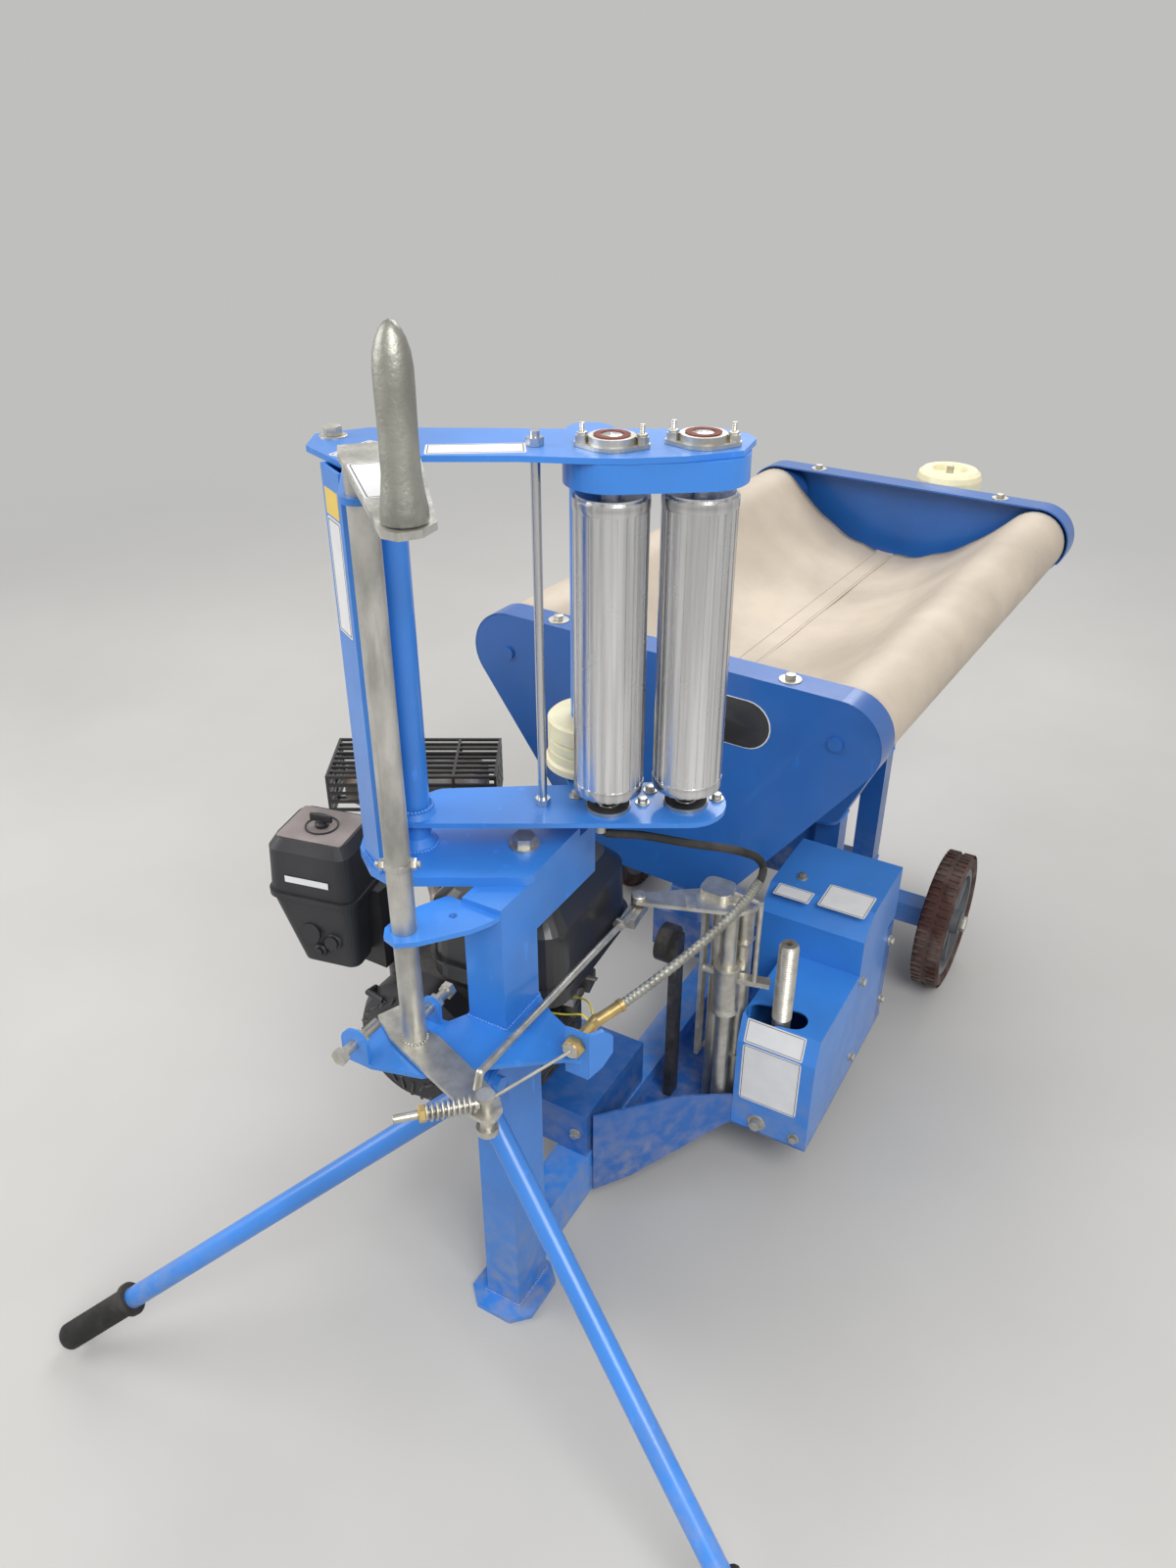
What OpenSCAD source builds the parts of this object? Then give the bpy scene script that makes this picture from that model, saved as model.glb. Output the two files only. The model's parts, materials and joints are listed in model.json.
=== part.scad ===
// Bale wrapper: a small engine-driven round bale wrapper on two wheels and a front post.
// Origin at the middle of the post's foot pad, on the floor. +X to the machine's right,
// +Y back from the post to the turntable, +Z up. Millimetres.

/* [Front post] */
// Width of the upright tube, side to side
post_w = 50; // [40:1:60]
// Depth of the upright tube, front to back
post_d = 70; // [60:1:80]
// Wall of the upright tube
post_wall = 4; // [3:0.5:6]
// Height of the mid plate's top face above the floor
mid_z = 500; // [490:1:510]
// Height of the top of the base plate that carries the film head
head_z = 679; // [670:1:690]
// Side of the foot pad
foot_w = 95; // [80:1:110]
// Thickness of the foot pad
foot_t = 8; // [6:1:12]
// Thickness of the blue plates
plate_t = 6; // [5:0.5:8]

/* [Chassis] */
// Distance from the post to the turntable's axis
hub_y = 920; // [910:1:925]
// Height of the main beam's underside above the floor
beam_z = 36; // [30:1:45]
// Height of the main beam's section
beam_h = 77; // [60:1:80]
// Distance from the post to the wheel axle
axle_y = 950; // [940:1:960]
// Side of the square axle tube
axle_tube = 40; // [30:1:50]
// Diameter of the axle pins
axle_d = 20; // [16:1:25]

/* [Wheels] */
// Diameter of the wheels
wheel_d = 250; // [240:1:260]
// Width of the tread
wheel_w = 50; // [40:1:56]
// Distance between the wheels' middles
track = 626; // [610:1:640]
// Number of spokes in a wheel core
spokes = 6; // [5:1:8]

/* [Film stretcher] */
// Angle of the film head about the post
head_angle = 30; // [28:1:32]
// Diameter of the film rollers
film_d = 77; // [70:1:80]
// Length of the film rollers
film_len = 331; // [310:1:334]
// Grooves round a film roller
film_ribs = 26; // [18:1:32]
// Diameter of the film roll's lower core disc
core_d = 105; // [90:1:110]
// Diameter of the film roll's spindle tube
spindle_d = 44; // [34:1:48]
// Height of the gear housing over the film rollers
head_h = 28; // [22:1:30]
// Height of the lower arm's top face
arm_z = 720; // [712:1:726]
// Height of the top arm's top face
arm_top = 1124; // [1116:1:1130]

/* [Control lever] */
// Diameter of the upright control pipe
pipe_d = 27; // [22:1:28]
// Height of the underside of the lever on top of the pipe
lever_z = 1153; // [1140:1:1165]
// Diameter of the hand grip
grip_d = 28; // [24:1:32]
// Length of the hand grip
grip_len = 134; // [115:1:150]

/* [Turntable] */
// Length over the table's end plates
table_len = 960; // [940:1:970]
// Width of the end plates at the top
table_w = 630; // [610:1:650]
// Height of the end plates' top flange
table_z = 770; // [760:1:780]
// Depth of the end plates
table_depth = 360; // [340:1:365]
// Angle at which the table stands
table_turn0 = -3; // [-5:1:5]
// Diameter of the belt rollers
belt_roller_d = 104; // [90:1:104]
// Thickness of the belt
belt_t = 3; // [2:0.5:5]
// Angle past a roller's top at which the belt leaves it for the trough
belt_wrap = 46; // [35:1:50]
// Angle at which the belt's slack side meets a roller
belt_hang = 20; // [15:1:30]
// Width of the end plates' top flange
flange_w = 45; // [30:1:50]

/* [Handles] */
// Diameter of the handle tubes
handle_d = 27; // [25:1:30]
// Height of the handles' hinge bolt
hinge_z = 440; // [430:1:445]
// Diameter of the handles' hinge bolt
hinge_d = 12; // [10:1:14]
// Length of the rubber grips
rubber_len = 120; // [100:1:140]

/* [Engine] */
// Height of the engine bed's top face
bed_z = 190; // [180:1:200]
// Width of the crankcase block, side to side
block_w = 210; // [190:1:215]
// Depth of the crankcase block, front to back
block_d = 200; // [190:1:210]
// Height of the crankcase block
block_h = 200; // [190:1:205]
// Radius of the starter cover
starter_r = 96; // [88:1:100]

/* [Hidden] */
$fn = 48;

blue = [0.16, 0.45, 0.82];
dark_blue = [0.07, 0.2, 0.45];
zinc = [0.66, 0.64, 0.58];
bright = [0.8, 0.8, 0.8];
black = [0.08, 0.08, 0.09];
steel_dark = [0.25, 0.22, 0.2];
canvas = [0.6, 0.55, 0.48];
cream = [0.92, 0.87, 0.65];
tread = [0.3, 0.12, 0.1];

run_gap = 0.05;
seat_gap = 0.3;
post_y = 8;
post_front = post_y - post_d / 2;
post_back = post_y + post_d / 2;

// Small shapes used by many pieces

module rounded(w, d, r) {
  hull() for (x = [-1, 1], y = [-1, 1]) translate([x * (w / 2 - r), y * (d / 2 - r)]) circle(r, $fn = 24);
}

module tube_box(w, d, h, wall) {
  linear_extrude(h) difference() {
    square([w, d], center = true);
    square([w - 2 * wall, d - 2 * wall], center = true);
  }
}

// A round bar from one point to another
module bar(a, b, d) {
  v = b - a;
  translate(a) rotate([0, acos(v.z / norm(v)), atan2(v.y, v.x)]) cylinder(d = d, h = norm(v), $fn = 24);
}

// A bent round bar through a row of points
module wire(pts, d) {
  for (i = [0 : len(pts) - 2]) bar(pts[i], pts[i + 1], d);
  for (i = [1 : 1 : len(pts) - 2]) translate(pts[i]) sphere(d = 1.1 * d, $fn = 24);
}

// A grid of flat bars, w by h, with nx and ny gaps
module lattice(w, h, nx, ny, t) {
  for (i = [0 : nx]) translate([-w / 2 + i * (w - t) / nx, -h / 2]) square([t, h]);
  for (j = [0 : ny]) translate([-w / 2, -h / 2 + j * (h - t) / ny]) square([w, t]);
}

module in_head() {
  rotate(head_angle) children();
}
module on_table() {
  translate([0, hub_y, 0]) rotate(table_turn0) children();
}

// Front post, its foot pad and the main beam

foot_c = 22;
module foot_outline() {
  w = foot_w / 2;
  d = foot_w / 2 + 5;
  c = foot_c;
  polygon([[-w + c, -d], [w - c, -d], [w, -d + c], [w, d - c], [w - c, d], [-w + c, d], [-w, d - c],
    [-w, -d + c]]);
}

rear_y0 = 700;
module front_frame() {
  color(blue) {
    linear_extrude(foot_t) foot_outline();
    translate([0, post_y, foot_t]) tube_box(post_w, post_d, mid_z - plate_t - foot_t - seat_gap, post_wall);
    translate([0, post_back, beam_z + beam_h / 2]) rotate([-90, 0, 0])
      tube_box(post_w, beam_h, rear_y0 - seat_gap - post_back, post_wall);
  }
}

// Two ears on the post's front and the hinge bolt between them

hinge_y = post_front - 25;
ear_x = 23;
ear_t = 5;
module handle_bracket() {
  color(blue) for (s = [-1, 1]) translate([s * ear_x, 0, hinge_z]) rotate([90, 0, 90])
    linear_extrude(ear_t, center = true) hull() {
      translate([hinge_y, 0]) circle(hinge_d, $fn = 32);
      translate([post_front - seat_gap - 2, -20]) square([2, 40]);
    }
  color(zinc) {
    translate([-ear_x - 10, hinge_y, hinge_z]) rotate([0, 90, 0]) cylinder(d = hinge_d, h = 2 * ear_x + 20);
    for (s = [-1, 1]) translate([s * (ear_x + ear_t / 2 + 4), hinge_y, hinge_z]) rotate([0, 90, 0])
      cylinder(d = 2 * hinge_d - 3, h = 8, center = true, $fn = 6);
  }
}

// Rear frame: side rails, cross members and uprights

rail_x = 130;
rail_w = 40;
rail_z = 60;
rail_h = 80;
rear_y1 = hub_y + 150;
base_z = 385;
base_w = 300;
base_d = 340;
module rear_frame() {
  color(blue) {
    for (s = [-1, 1]) translate([s * rail_x, (rear_y0 + rear_y1) / 2, rail_z])
      linear_extrude(rail_h) square([rail_w, rear_y1 - rear_y0], center = true);
    for (y = [rear_y0 + rail_w / 2, rear_y1 - rail_w / 2]) translate([0, y, rail_z])
      linear_extrude(rail_h) square([2 * rail_x, rail_w], center = true);
    for (s = [-1, 1], y = [-1, 1]) translate([s * rail_x, hub_y + y * 125, rail_z + rail_h - 1])
      linear_extrude(base_z - plate_t - rail_z - rail_h + 1) square([rail_w, rail_w], center = true);
    translate([0, hub_y, base_z - plate_t]) linear_extrude(plate_t) rounded(base_w, base_d, 20);
  }
}

axle_half = track / 2 - wheel_w / 2 - 8;
axle_z = wheel_d / 2;
axle_pin_out = wheel_w + 14;
axle_in = rail_x + rail_w / 2 + seat_gap;
module axle() {
  for (s = [-1, 1]) translate([s * axle_in, axle_y, axle_z]) rotate([0, s * 90, 0]) {
    color(blue) linear_extrude(axle_half - axle_in) square(axle_tube, center = true);
    color(zinc) cylinder(d = axle_d, h = axle_half - axle_in + axle_pin_out);
  }
}

// Floor and front sheet of the drive covers

tray_z = 86;
tray_t = 3;
cover_x = 281;
cover_y0 = 345;
cover_y1 = 689;
low_x = 164;
tray_x = post_w / 2 + seat_gap;
sheet_a = [tray_x + tray_t, 168];
sheet_b = [low_x - seat_gap, cover_y0];
module drive_tray() {
  run = sheet_b - sheet_a;
  w = norm(run);
  color(dark_blue) translate([0, 0, tray_z]) linear_extrude(tray_t)
    polygon([[tray_x, sheet_a.y], sheet_b, [cover_x, cover_y0], [cover_x, cover_y1], [tray_x, cover_y1]]);
  color(blue) translate([sheet_a.x, sheet_a.y, 0]) rotate([90, 0, atan2(run.y, run.x)])
    translate([0, 0, -tray_t]) linear_extrude(tray_t)
      polygon([[0, 38], [60, 42], [w, tray_z + tray_t], [w, 142], [w * 0.62, 172], [0, 186]]);
}

// Wheels

wheel_hub_d = 44;
rim_d = wheel_d - 50;
module at_wheel(s) {
  translate([s * track / 2, axle_y, axle_z]) rotate([0, 90, 0]) children();
}
module tyre(s) {
  color(tread) at_wheel(s) rotate_extrude($fn = 72) polygon([
    [rim_d / 2, -wheel_w * 0.42], [wheel_d / 2 - 10, -wheel_w / 2], [wheel_d / 2 - 3, -wheel_w / 2 + 5],
    [wheel_d / 2, -wheel_w / 2 + 12], [wheel_d / 2, wheel_w / 2 - 12], [wheel_d / 2 - 3, wheel_w / 2 - 5],
    [wheel_d / 2 - 10, wheel_w / 2], [rim_d / 2, wheel_w * 0.42]]);
}
module rim(s) {
  ri = rim_d / 2 - seat_gap;
  color([0.35, 0.36, 0.38]) at_wheel(s) difference() {
    union() {
      rotate_extrude($fn = 72) translate([ri - 13, -wheel_w * 0.4]) square([13, wheel_w * 0.8]);
      cylinder(d = wheel_hub_d, h = wheel_w + 4, center = true);
      for (i = [0 : spokes - 1]) rotate(i * 360 / spokes)
        translate([wheel_hub_d / 2 - 2, -6, -wheel_w * 0.3])
          cube([ri - 11 - wheel_hub_d / 2 + 2, 12, wheel_w * 0.6]);
      cylinder(d = rim_d - 24, h = 6, center = true);
    }
    cylinder(d = axle_d + 2 * run_gap, h = wheel_w + 10, center = true);
  }
}

// Mid plate with its ears, and the stop bolts in them

stop_z = mid_z + 21;
stop_d = 12;
ear_w = 36;
module ear(x, y, w) {
  translate([x, y, mid_z - 1]) rotate([90, 0, 0]) linear_extrude(5, center = true) difference() {
    hull() {
      translate([-w / 2, 0]) square([w, 2]);
      translate([0, stop_z - mid_z + 1]) circle(w / 2, $fn = 32);
    }
    translate([0, stop_z - mid_z + 1]) circle(d = stop_d + 2 * seat_gap);
  }
}
cable_at = [117, -40, stop_z];
cable_d = 10;
ear_a_y = -24;
module mid_plate() {
  color(blue) {
    translate([0, 0, mid_z - plate_t]) linear_extrude(plate_t)
      polygon([[-111, -148], [-72, -148], [-15, -132], [21, -99], [107, -33], [130, -24], [145, 5],
        [83, 11], [54, 24], [27, 43], [-27, 43], [-27, -24], [-40, -48], [-72, -50], [-72, -62],
        [-48, -78], [-75, -106], [-106, -89]]);
    ear(-93, -145.5, ear_w);
    ear(-57, -56, 26);
    difference() {
      translate([103, ear_a_y - 2.5, mid_z - 25]) cube([29, 5, 62]);
      translate([cable_at.x, 0, cable_at.z]) rotate([90, 0, 0])
        cylinder(d = cable_d + 2 * seat_gap, h = 60);
    }
    translate([130, ear_a_y, mid_z - 25]) rotate(63) rotate([90, 0, 0]) linear_extrude(5, center = true)
      polygon([[0, 0], [18, 8], [32, 24], [32, 48], [20, 60], [0, 62]]);
  }
}
// Stop bolts: x, y of the head, y of the end, y of the nut
stops = [[-93, -174, -108, -142.7], [-57, -20, -76, -53.2]];
head_bolt = [29, 73];
head_bolt_d = 16;
module stop_bolts() {
  color(zinc) for (b = stops) {
    s = b[2] > b[1] ? 1 : -1;
    translate([b.x, b.y, stop_z]) rotate([-90 * s, 0, 0]) {
      cylinder(d = 20, h = 8, $fn = 6);
      cylinder(d = stop_d, h = abs(b[2] - b.y));
    }
    translate([b.x, b[3], stop_z]) rotate([-90, 0, 0]) cylinder(d = 20, h = 9, $fn = 6);
  }
  color(zinc) in_head() translate([head_bolt.x, head_bolt.y, head_z]) {
    translate([0, 0, seat_gap]) cylinder(d = 2.2 * head_bolt_d, h = 3);
    translate([0, 0, seat_gap]) cylinder(d = 1.7 * head_bolt_d, h = 13, $fn = 6);
    translate([0, 0, -2 * plate_t - 30]) cylinder(d = head_bolt_d, h = 2 * plate_t + 31);
  }
}

// Upper post, its arm, the bracket plate and the base plate

bracket_z = 660;
pipe_at = [-51, -95];
head_arm_y = 176;
module post_head() {
  top = head_z - 2 * plate_t;
  color(blue) difference() {
    union() {
      translate([0, post_y, mid_z + seat_gap]) tube_box(post_w, post_d, top - mid_z - seat_gap, post_wall);
      translate([0, post_y, top - post_wall / 2]) cube([post_w, post_d, post_wall], center = true);
      translate([0, post_back - 1, top - post_d / 2]) rotate([-90, 0, 0])
        tube_box(post_w, post_d, head_arm_y - post_back + 1, post_wall);
      translate([0, 0, bracket_z - plate_t]) linear_extrude(plate_t) difference() {
        polygon([[-70, -84], [-70, -104], [-62, -116], [-44, -121], [-25, -106], [10, -62], [21, -40],
          [25, -24], [-46, -24], [-62, -55]]);
        translate(pipe_at) circle(d = pipe_d + 2 * seat_gap);
        translate([-20, -51]) circle(d = 9);
      }
      in_head() translate([0, 0, top]) linear_extrude(2 * plate_t)
        polygon([[-157, 68], [-140, 30], [-119, 12], [-101, 9], [33, 9], [42, 16], [92, 110], [92, 150],
          [-20, 160], [-120, 140], [-157, 105]]);
    }
    in_head() translate([head_bolt.x, head_bolt.y, top - 40])
      cylinder(d = head_bolt_d + 2 * seat_gap, h = 80);
  }
}

// Column of the film head and the round tube beside the pipe

column_top = arm_top - plate_t - seat_gap;
column_w = 30;
column_d = 47;
column_corner = [-119, -46];
column_turn = 60.6;
tube_d = 34;
tube_at = [-93, 80];
module column() {
  h = column_top - head_z - seat_gap;
  color(blue) {
    translate([column_corner.x, column_corner.y, head_z + seat_gap]) rotate(column_turn)
      translate([column_w / 2, column_d / 2, 0]) tube_box(column_w, column_d, h, 3);
    in_head() translate([tube_at.x, tube_at.y, head_z + seat_gap]) {
      cylinder(d = tube_d, h = h);
      cylinder(d1 = tube_d + 12, d2 = tube_d, h = 12);
    }
  }
}

// Arms of the film stretcher, measured in the head's own frame

film_a = [124, 91];
film_b = [212, 100];
core_at = [103, 189];
tie_at = [50, 96];
tie_d = 10;
pipe_head = [pipe_at.x * cos(head_angle) + pipe_at.y * sin(head_angle),
  pipe_at.y * cos(head_angle) - pipe_at.x * sin(head_angle)];
film_z = arm_z + 26;
shaft_d = 20;
bearing_d = 50;
module lower_arm() {
  color(blue) in_head() {
    translate([0, 0, arm_z - plate_t]) linear_extrude(plate_t) difference() {
      union() {
        hull() {
          translate(film_b) circle(46, $fn = 32);
          translate(film_a) circle(36, $fn = 32);
          translate(tube_at) circle(26, $fn = 24);
          translate([tube_at.x + 30, tube_at.y + 30]) circle(20, $fn = 24);
        }
        hull() {
          translate(film_a) circle(36, $fn = 32);
          translate(core_at) circle(32, $fn = 32);
        }
      }
      for (p = [film_a, film_b]) translate(p) circle(d = bearing_d + 2 * seat_gap);
      translate(tube_at) circle(d = tube_d + 2 * seat_gap);
    }
    translate([tube_at.x, tube_at.y, arm_z - 0.1]) difference() {
      cylinder(d1 = tube_d + 14, d2 = tube_d + 4, h = 10);
      translate([0, 0, -1]) cylinder(d = tube_d + 2 * seat_gap, h = 12);
    }
  }
}
pipe_tab = 20;
module top_arm() {
  color(blue) in_head() translate([0, 0, arm_top - plate_t]) linear_extrude(plate_t) difference() {
    union() {
      polygon([[-170, 96], [-119, 28], [-90, 32], [-55, 59], [37, 59], [90, 52], [137, 49], [192, 57],
        [249, 77], [266, 121], [262, 140], [240, 160], [60, 160], [2, 163], [-120, 165], [-170, 140]]);
      hull() {
        translate(pipe_head) circle(pipe_tab, $fn = 32);
        translate([-105, 50]) circle(pipe_tab, $fn = 24);
      }
    }
    translate(pipe_head) circle(d = pipe_d + 2 * seat_gap);
    for (p = [film_a, film_b]) translate(p) circle(d = shaft_d + 10);
    translate(tie_at) circle(d = tie_d + 2 * seat_gap);
  }
}
module roller_head() {
  color(blue) in_head() translate([0, 0, column_top - head_h]) linear_extrude(head_h) difference() {
    union() {
      hull() for (p = [film_a, film_b]) translate([p.x, p.y + 6]) circle(48, $fn = 48);
      hull() {
        translate(film_a) circle(40, $fn = 32);
        translate(core_at) circle(spindle_d / 2 + 2, $fn = 32);
      }
    }
    for (p = [film_a, film_b]) translate(p) circle(d = shaft_d + 10);
  }
}
// Flanged bearings: two on the top arm, two let into the lower arm
module film_bearings() {
  color(zinc) in_head() for (p = [film_a, film_b]) {
    translate([p.x, p.y, arm_top + seat_gap]) rotate(-8) difference() {
      union() {
        linear_extrude(4) hull() {
          circle(26, $fn = 32);
          for (s = [-1, 1]) translate([s * 29, 0]) circle(8, $fn = 24);
        }
        cylinder(d = 46, h = 11);
        for (s = [-1, 1]) translate([s * 29, 0, 0]) cylinder(d = 13, h = 10, $fn = 6);
      }
      translate([0, 0, -1]) cylinder(d = shaft_d + 2 * run_gap, h = 14);
    }
    translate([p.x, p.y, arm_z - plate_t]) difference() {
      cylinder(d = bearing_d, h = plate_t + 4);
      translate([0, 0, -1]) cylinder(d = shaft_d + 2 * run_gap, h = plate_t + 6);
    }
  }
}
module tie_rod() {
  color(bright) in_head() translate([tie_at.x, tie_at.y, arm_z + seat_gap]) {
    cylinder(d = tie_d, h = arm_top - arm_z + 14);
    cylinder(d = 1.8 * tie_d, h = 8, $fn = 6);
    translate([0, 0, arm_top - arm_z]) cylinder(d = 1.8 * tie_d, h = 8, $fn = 6);
  }
}
module film_spindle() {
  color(blue) in_head() translate([core_at.x, core_at.y, arm_z + seat_gap])
    cylinder(d = spindle_d, h = column_top - head_h - 2 * seat_gap - arm_z);
}
core_z = arm_z + 5;
core_h = 62;
module film_core() {
  r = core_d / 2;
  color(cream) in_head() translate([core_at.x, core_at.y, core_z]) difference() {
    rotate_extrude($fn = 64) polygon([[0, 0], [r, 0], [r, 8], [r - 3, 11], [r - 3, 22], [r - 6, 24],
      [r - 3, 26], [r - 3, 36], [r - 7, 38], [r - 3, 40], [r - 3, core_h - 3], [r - 6, core_h],
      [0, core_h]]);
    translate([0, 0, -1]) cylinder(d = spindle_d + 2 * run_gap, h = core_h + 2);
  }
}
module film_roller(p) {
  color(bright) in_head() translate([p.x, p.y, film_z]) {
    linear_extrude(film_len) difference() {
      circle(d = film_d, $fn = 72);
      for (i = [0 : film_ribs - 1]) rotate(i * 360 / film_ribs)
        translate([film_d / 2, 0]) square([2, 3], center = true);
    }
    translate([0, 0, arm_z - plate_t - film_z]) cylinder(d = shaft_d, h = arm_top + 10 - arm_z + plate_t);
    translate([0, 0, -9]) cylinder(d = 34, h = 10);
    translate([0, 0, film_len - 0.1]) cylinder(d = film_d - 6, h = 3);
  }
}

// Control pipe, levers and grip

lever_t = 6;
boss_h = 3;
low_z = mid_z + seat_gap + boss_h;
low_t = 5;
pipe_z0 = low_z + low_t + seat_gap;
grip_at = [99, -224];
grip_z = lever_z + lever_t;
module control_pipe() {
  color(zinc) {
    translate([pipe_at.x, pipe_at.y, pipe_z0]) cylinder(d = pipe_d, h = lever_z - pipe_z0 + 1);
    translate([0, 0, lever_z]) linear_extrude(lever_t)
      polygon([[-78, -88], [-62, -107], [94, -246], [109, -246], [119, -231], [117, -211], [37, -119],
        [-25, -47], [-41, -47]]);
  }
}
module control_grip() {
  color(zinc) translate([grip_at.x, grip_at.y, grip_z + seat_gap]) rotate_extrude()
    polygon([[0, 0], [grip_d / 2 + 4, 0], [grip_d / 2 + 4, 6], [grip_d / 2, 24], [grip_d / 2, grip_len - 8],
      [grip_d / 2 - 6, grip_len], [0, grip_len]]);
}
tail_at = [78, -144];
tail_d = 15;
module low_lever() {
  color(zinc) {
    translate([0, 0, low_z]) linear_extrude(low_t)
      polygon([[-110, -87], [-99, -61], [-66, -77], [-29, -80], [51, -110], [82, -124], [93, -136],
        [94, -152], [84, -160], [66, -158], [-59, -116], [-76, -109]]);
    translate([pipe_at.x, pipe_at.y, low_z - boss_h]) cylinder(d = pipe_d + 12, h = boss_h + 1);
    translate([tail_at.x, tail_at.y, mid_z - 24]) {
      cylinder(d = 24, h = 8);
      cylinder(d = tail_d, h = 52);
      translate([0, 0, 48]) cylinder(d = 20, h = 5);
    }
  }
}
spring_z = low_z + low_t + 10.5;
module return_spring() {
  color(zinc) translate([tail_at.x, tail_at.y, spring_z]) rotate(-135) rotate([0, 90, 0]) {
    translate([0, 0, tail_d / 2 + seat_gap]) cylinder(d = 9, h = 88);
    translate([0, 0, 12]) cylinder(d = 20, h = 50);
    translate([0, 0, 62]) cylinder(d = 17, h = 8, $fn = 6);
  }
}

// Cable from the tail pin through the right ear to the fitting under the film head

cable_end = [69, 110, arm_z - plate_t - 8];
cable = [cable_at, [117, 0, stop_z], [139, 62, 531], [173, 134, 556], [203, 197, 587], [217, 232, 616],
  [212, 240, 638], [190, 216, 659], [151, 170, 682], [108, 138, 697], cable_end];
ferrule_y = 14;
pull = unit([cable_at.x - tail_at.x, cable_at.y - tail_at.y]) * (tail_d / 2 + 0.5);
module along_cable(y0, y1, d) {
  translate([cable_at.x, y0, cable_at.z]) rotate([-90, 0, 0]) cylinder(d = d, h = y1 - y0);
}
module cable_ends() {
  color(zinc) {
    bar([tail_at.x + pull.x, tail_at.y + pull.y, spring_z], cable_at, 4);
    along_cable(cable_at.y, ear_a_y - 2.5 - seat_gap, 18);
    along_cable(ear_a_y - 2.5 - seat_gap - 1, ferrule_y, cable_d);
    along_cable(ear_a_y + 2.5 + seat_gap, ferrule_y, cable_d + 4);
  }
  color(steel_dark) translate(cable_end) translate([0, 0, 0.2]) cylinder(d = 13, h = 7.8 - seat_gap);
}
// Smooth curve through the cable's points, and a tube swept along it
cable_sides = 10;
cable_steps = 4;
route = concat([[cable_at.x, ferrule_y + 0.2, cable_at.z]], [for (i = [2 : len(cable) - 1]) cable[i]]);
function knot(i) = i < 0 ? 2 * route[0] - [route[0].x, route[0].y + 20, route[0].z]
  : i >= len(route) ? cable_end + [0, 0, 30] : route[i];
function curve_at(i, t) = let (a = knot(i - 1), b = knot(i), c = knot(i + 1), d = knot(i + 2))
  0.5 * (2 * b + (c - a) * t + (2 * a - 5 * b + 4 * c - d) * t * t + (3 * b - a - 3 * c + d) * t * t * t);
path = concat([for (i = [0 : len(route) - 2], k = [0 : cable_steps - 1]) curve_at(i, k / cable_steps)],
  [cable_end]);
function unit(v) = v / norm(v);
function heading(i) = i == 0 ? [0, 1, 0] : i == len(path) - 1 ? [0, 0, 1] : unit(path[i + 1] - path[i - 1]);
function ring(i) = let (
    t = heading(i),
    u = unit(cross(t, abs(t.z) > 0.99 ? [1, 0, 0] : [0, 0, 1])) * cable_d / 2,
    v = cross(t, u))
  [for (k = [0 : cable_sides - 1]) let (a = 360 * k / cable_sides) path[i] + u * cos(a) + v * sin(a)];
module conduit() {
  m = len(path);
  n = cable_sides;
  color(black) polyhedron(
    points = [for (i = [0 : m - 1]) each ring(i)],
    faces = concat([[for (k = [0 : n - 1]) k]], [[for (k = [n - 1 : -1 : 0]) (m - 1) * n + k]],
      [for (i = [0 : m - 2], k = [0 : n - 1]) let (a = i * n, l = (k + 1) % n)
        [a + k, a + n + k, a + n + l, a + l]]),
    convexity = 6);
}

// Clutch linkage

clutch_at = [140, 352];
clutch_top = 478;
tray_top = tray_z + tray_t + seat_gap;
// Upright tubes of the clutch: x, y, diameter, top
clutch_tubes = [[140, 345, 22, 478], [118, 366, 24, 474], [151.5, 372, 24, 474]];
arm_tip = [27, 292];
arm_pin = 10;
key_at = [178, 352];
module clutch_post() {
  color(zinc) {
    for (t = clutch_tubes) translate([t.x, t.y, tray_top]) cylinder(d = t[2], h = t[3] - tray_top);
    translate([140, 345, 300]) cylinder(d = 36, h = 78);
    for (z = [200, 405]) translate([104, 357, z]) linear_extrude(5) square([59, 26]);
    translate([140, 338, 352]) rotate(14) linear_extrude(8) square([62, 16]);
    translate([103, 345, 358]) rotate([0, 90, 0]) cylinder(d = 12, h = 30);
    translate([100, 338, 200]) cube([6, 14, 262]);
    translate([key_at.x, key_at.y, 356]) cylinder(d = 7, h = 139);
    bar([key_at.x + 3, key_at.y, 491], [140, key_at.y, 494], 7);
  }
}
module clutch_arm() {
  color(zinc) {
    translate([0, 0, clutch_top + seat_gap]) linear_extrude(6) hull() {
      translate(clutch_at) circle(30, $fn = 32);
      translate(arm_tip) circle(11, $fn = 32);
    }
    translate([clutch_at.x - 26, clutch_at.y + 4, clutch_top + 6]) linear_extrude(10) rounded(44, 40, 12);
    translate([arm_tip.x, arm_tip.y, clutch_top - 16]) cylinder(d = arm_pin, h = 28);
  }
}
rod_a = [57, -130, low_z + low_t + 4.8];
module clutch_rod() {
  color(zinc) {
    wire([rod_a, rod_a + [1, 6, 20], [arm_tip.x + 1.2, arm_tip.y - 16.9, clutch_top - 5.4]], 9);
    difference() {
      translate([arm_tip.x, arm_tip.y, clutch_top - 17]) rotate(6)
        translate([-10, -40, 0]) cube([20, 50, 14]);
      translate([arm_tip.x, arm_tip.y, clutch_top - 20]) cylinder(d = arm_pin + 2 * seat_gap, h = 30);
    }
  }
}
screw_at = [216, 373];
module stroke_screw() {
  color(zinc) translate([screw_at.x, screw_at.y, tray_top]) difference() {
    cylinder(d = 28, h = 425 - tray_top);
    translate([0, 0, 320 - tray_top + 85]) cylinder(d = 7, h = 40);
  }
}

// Engine

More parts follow.
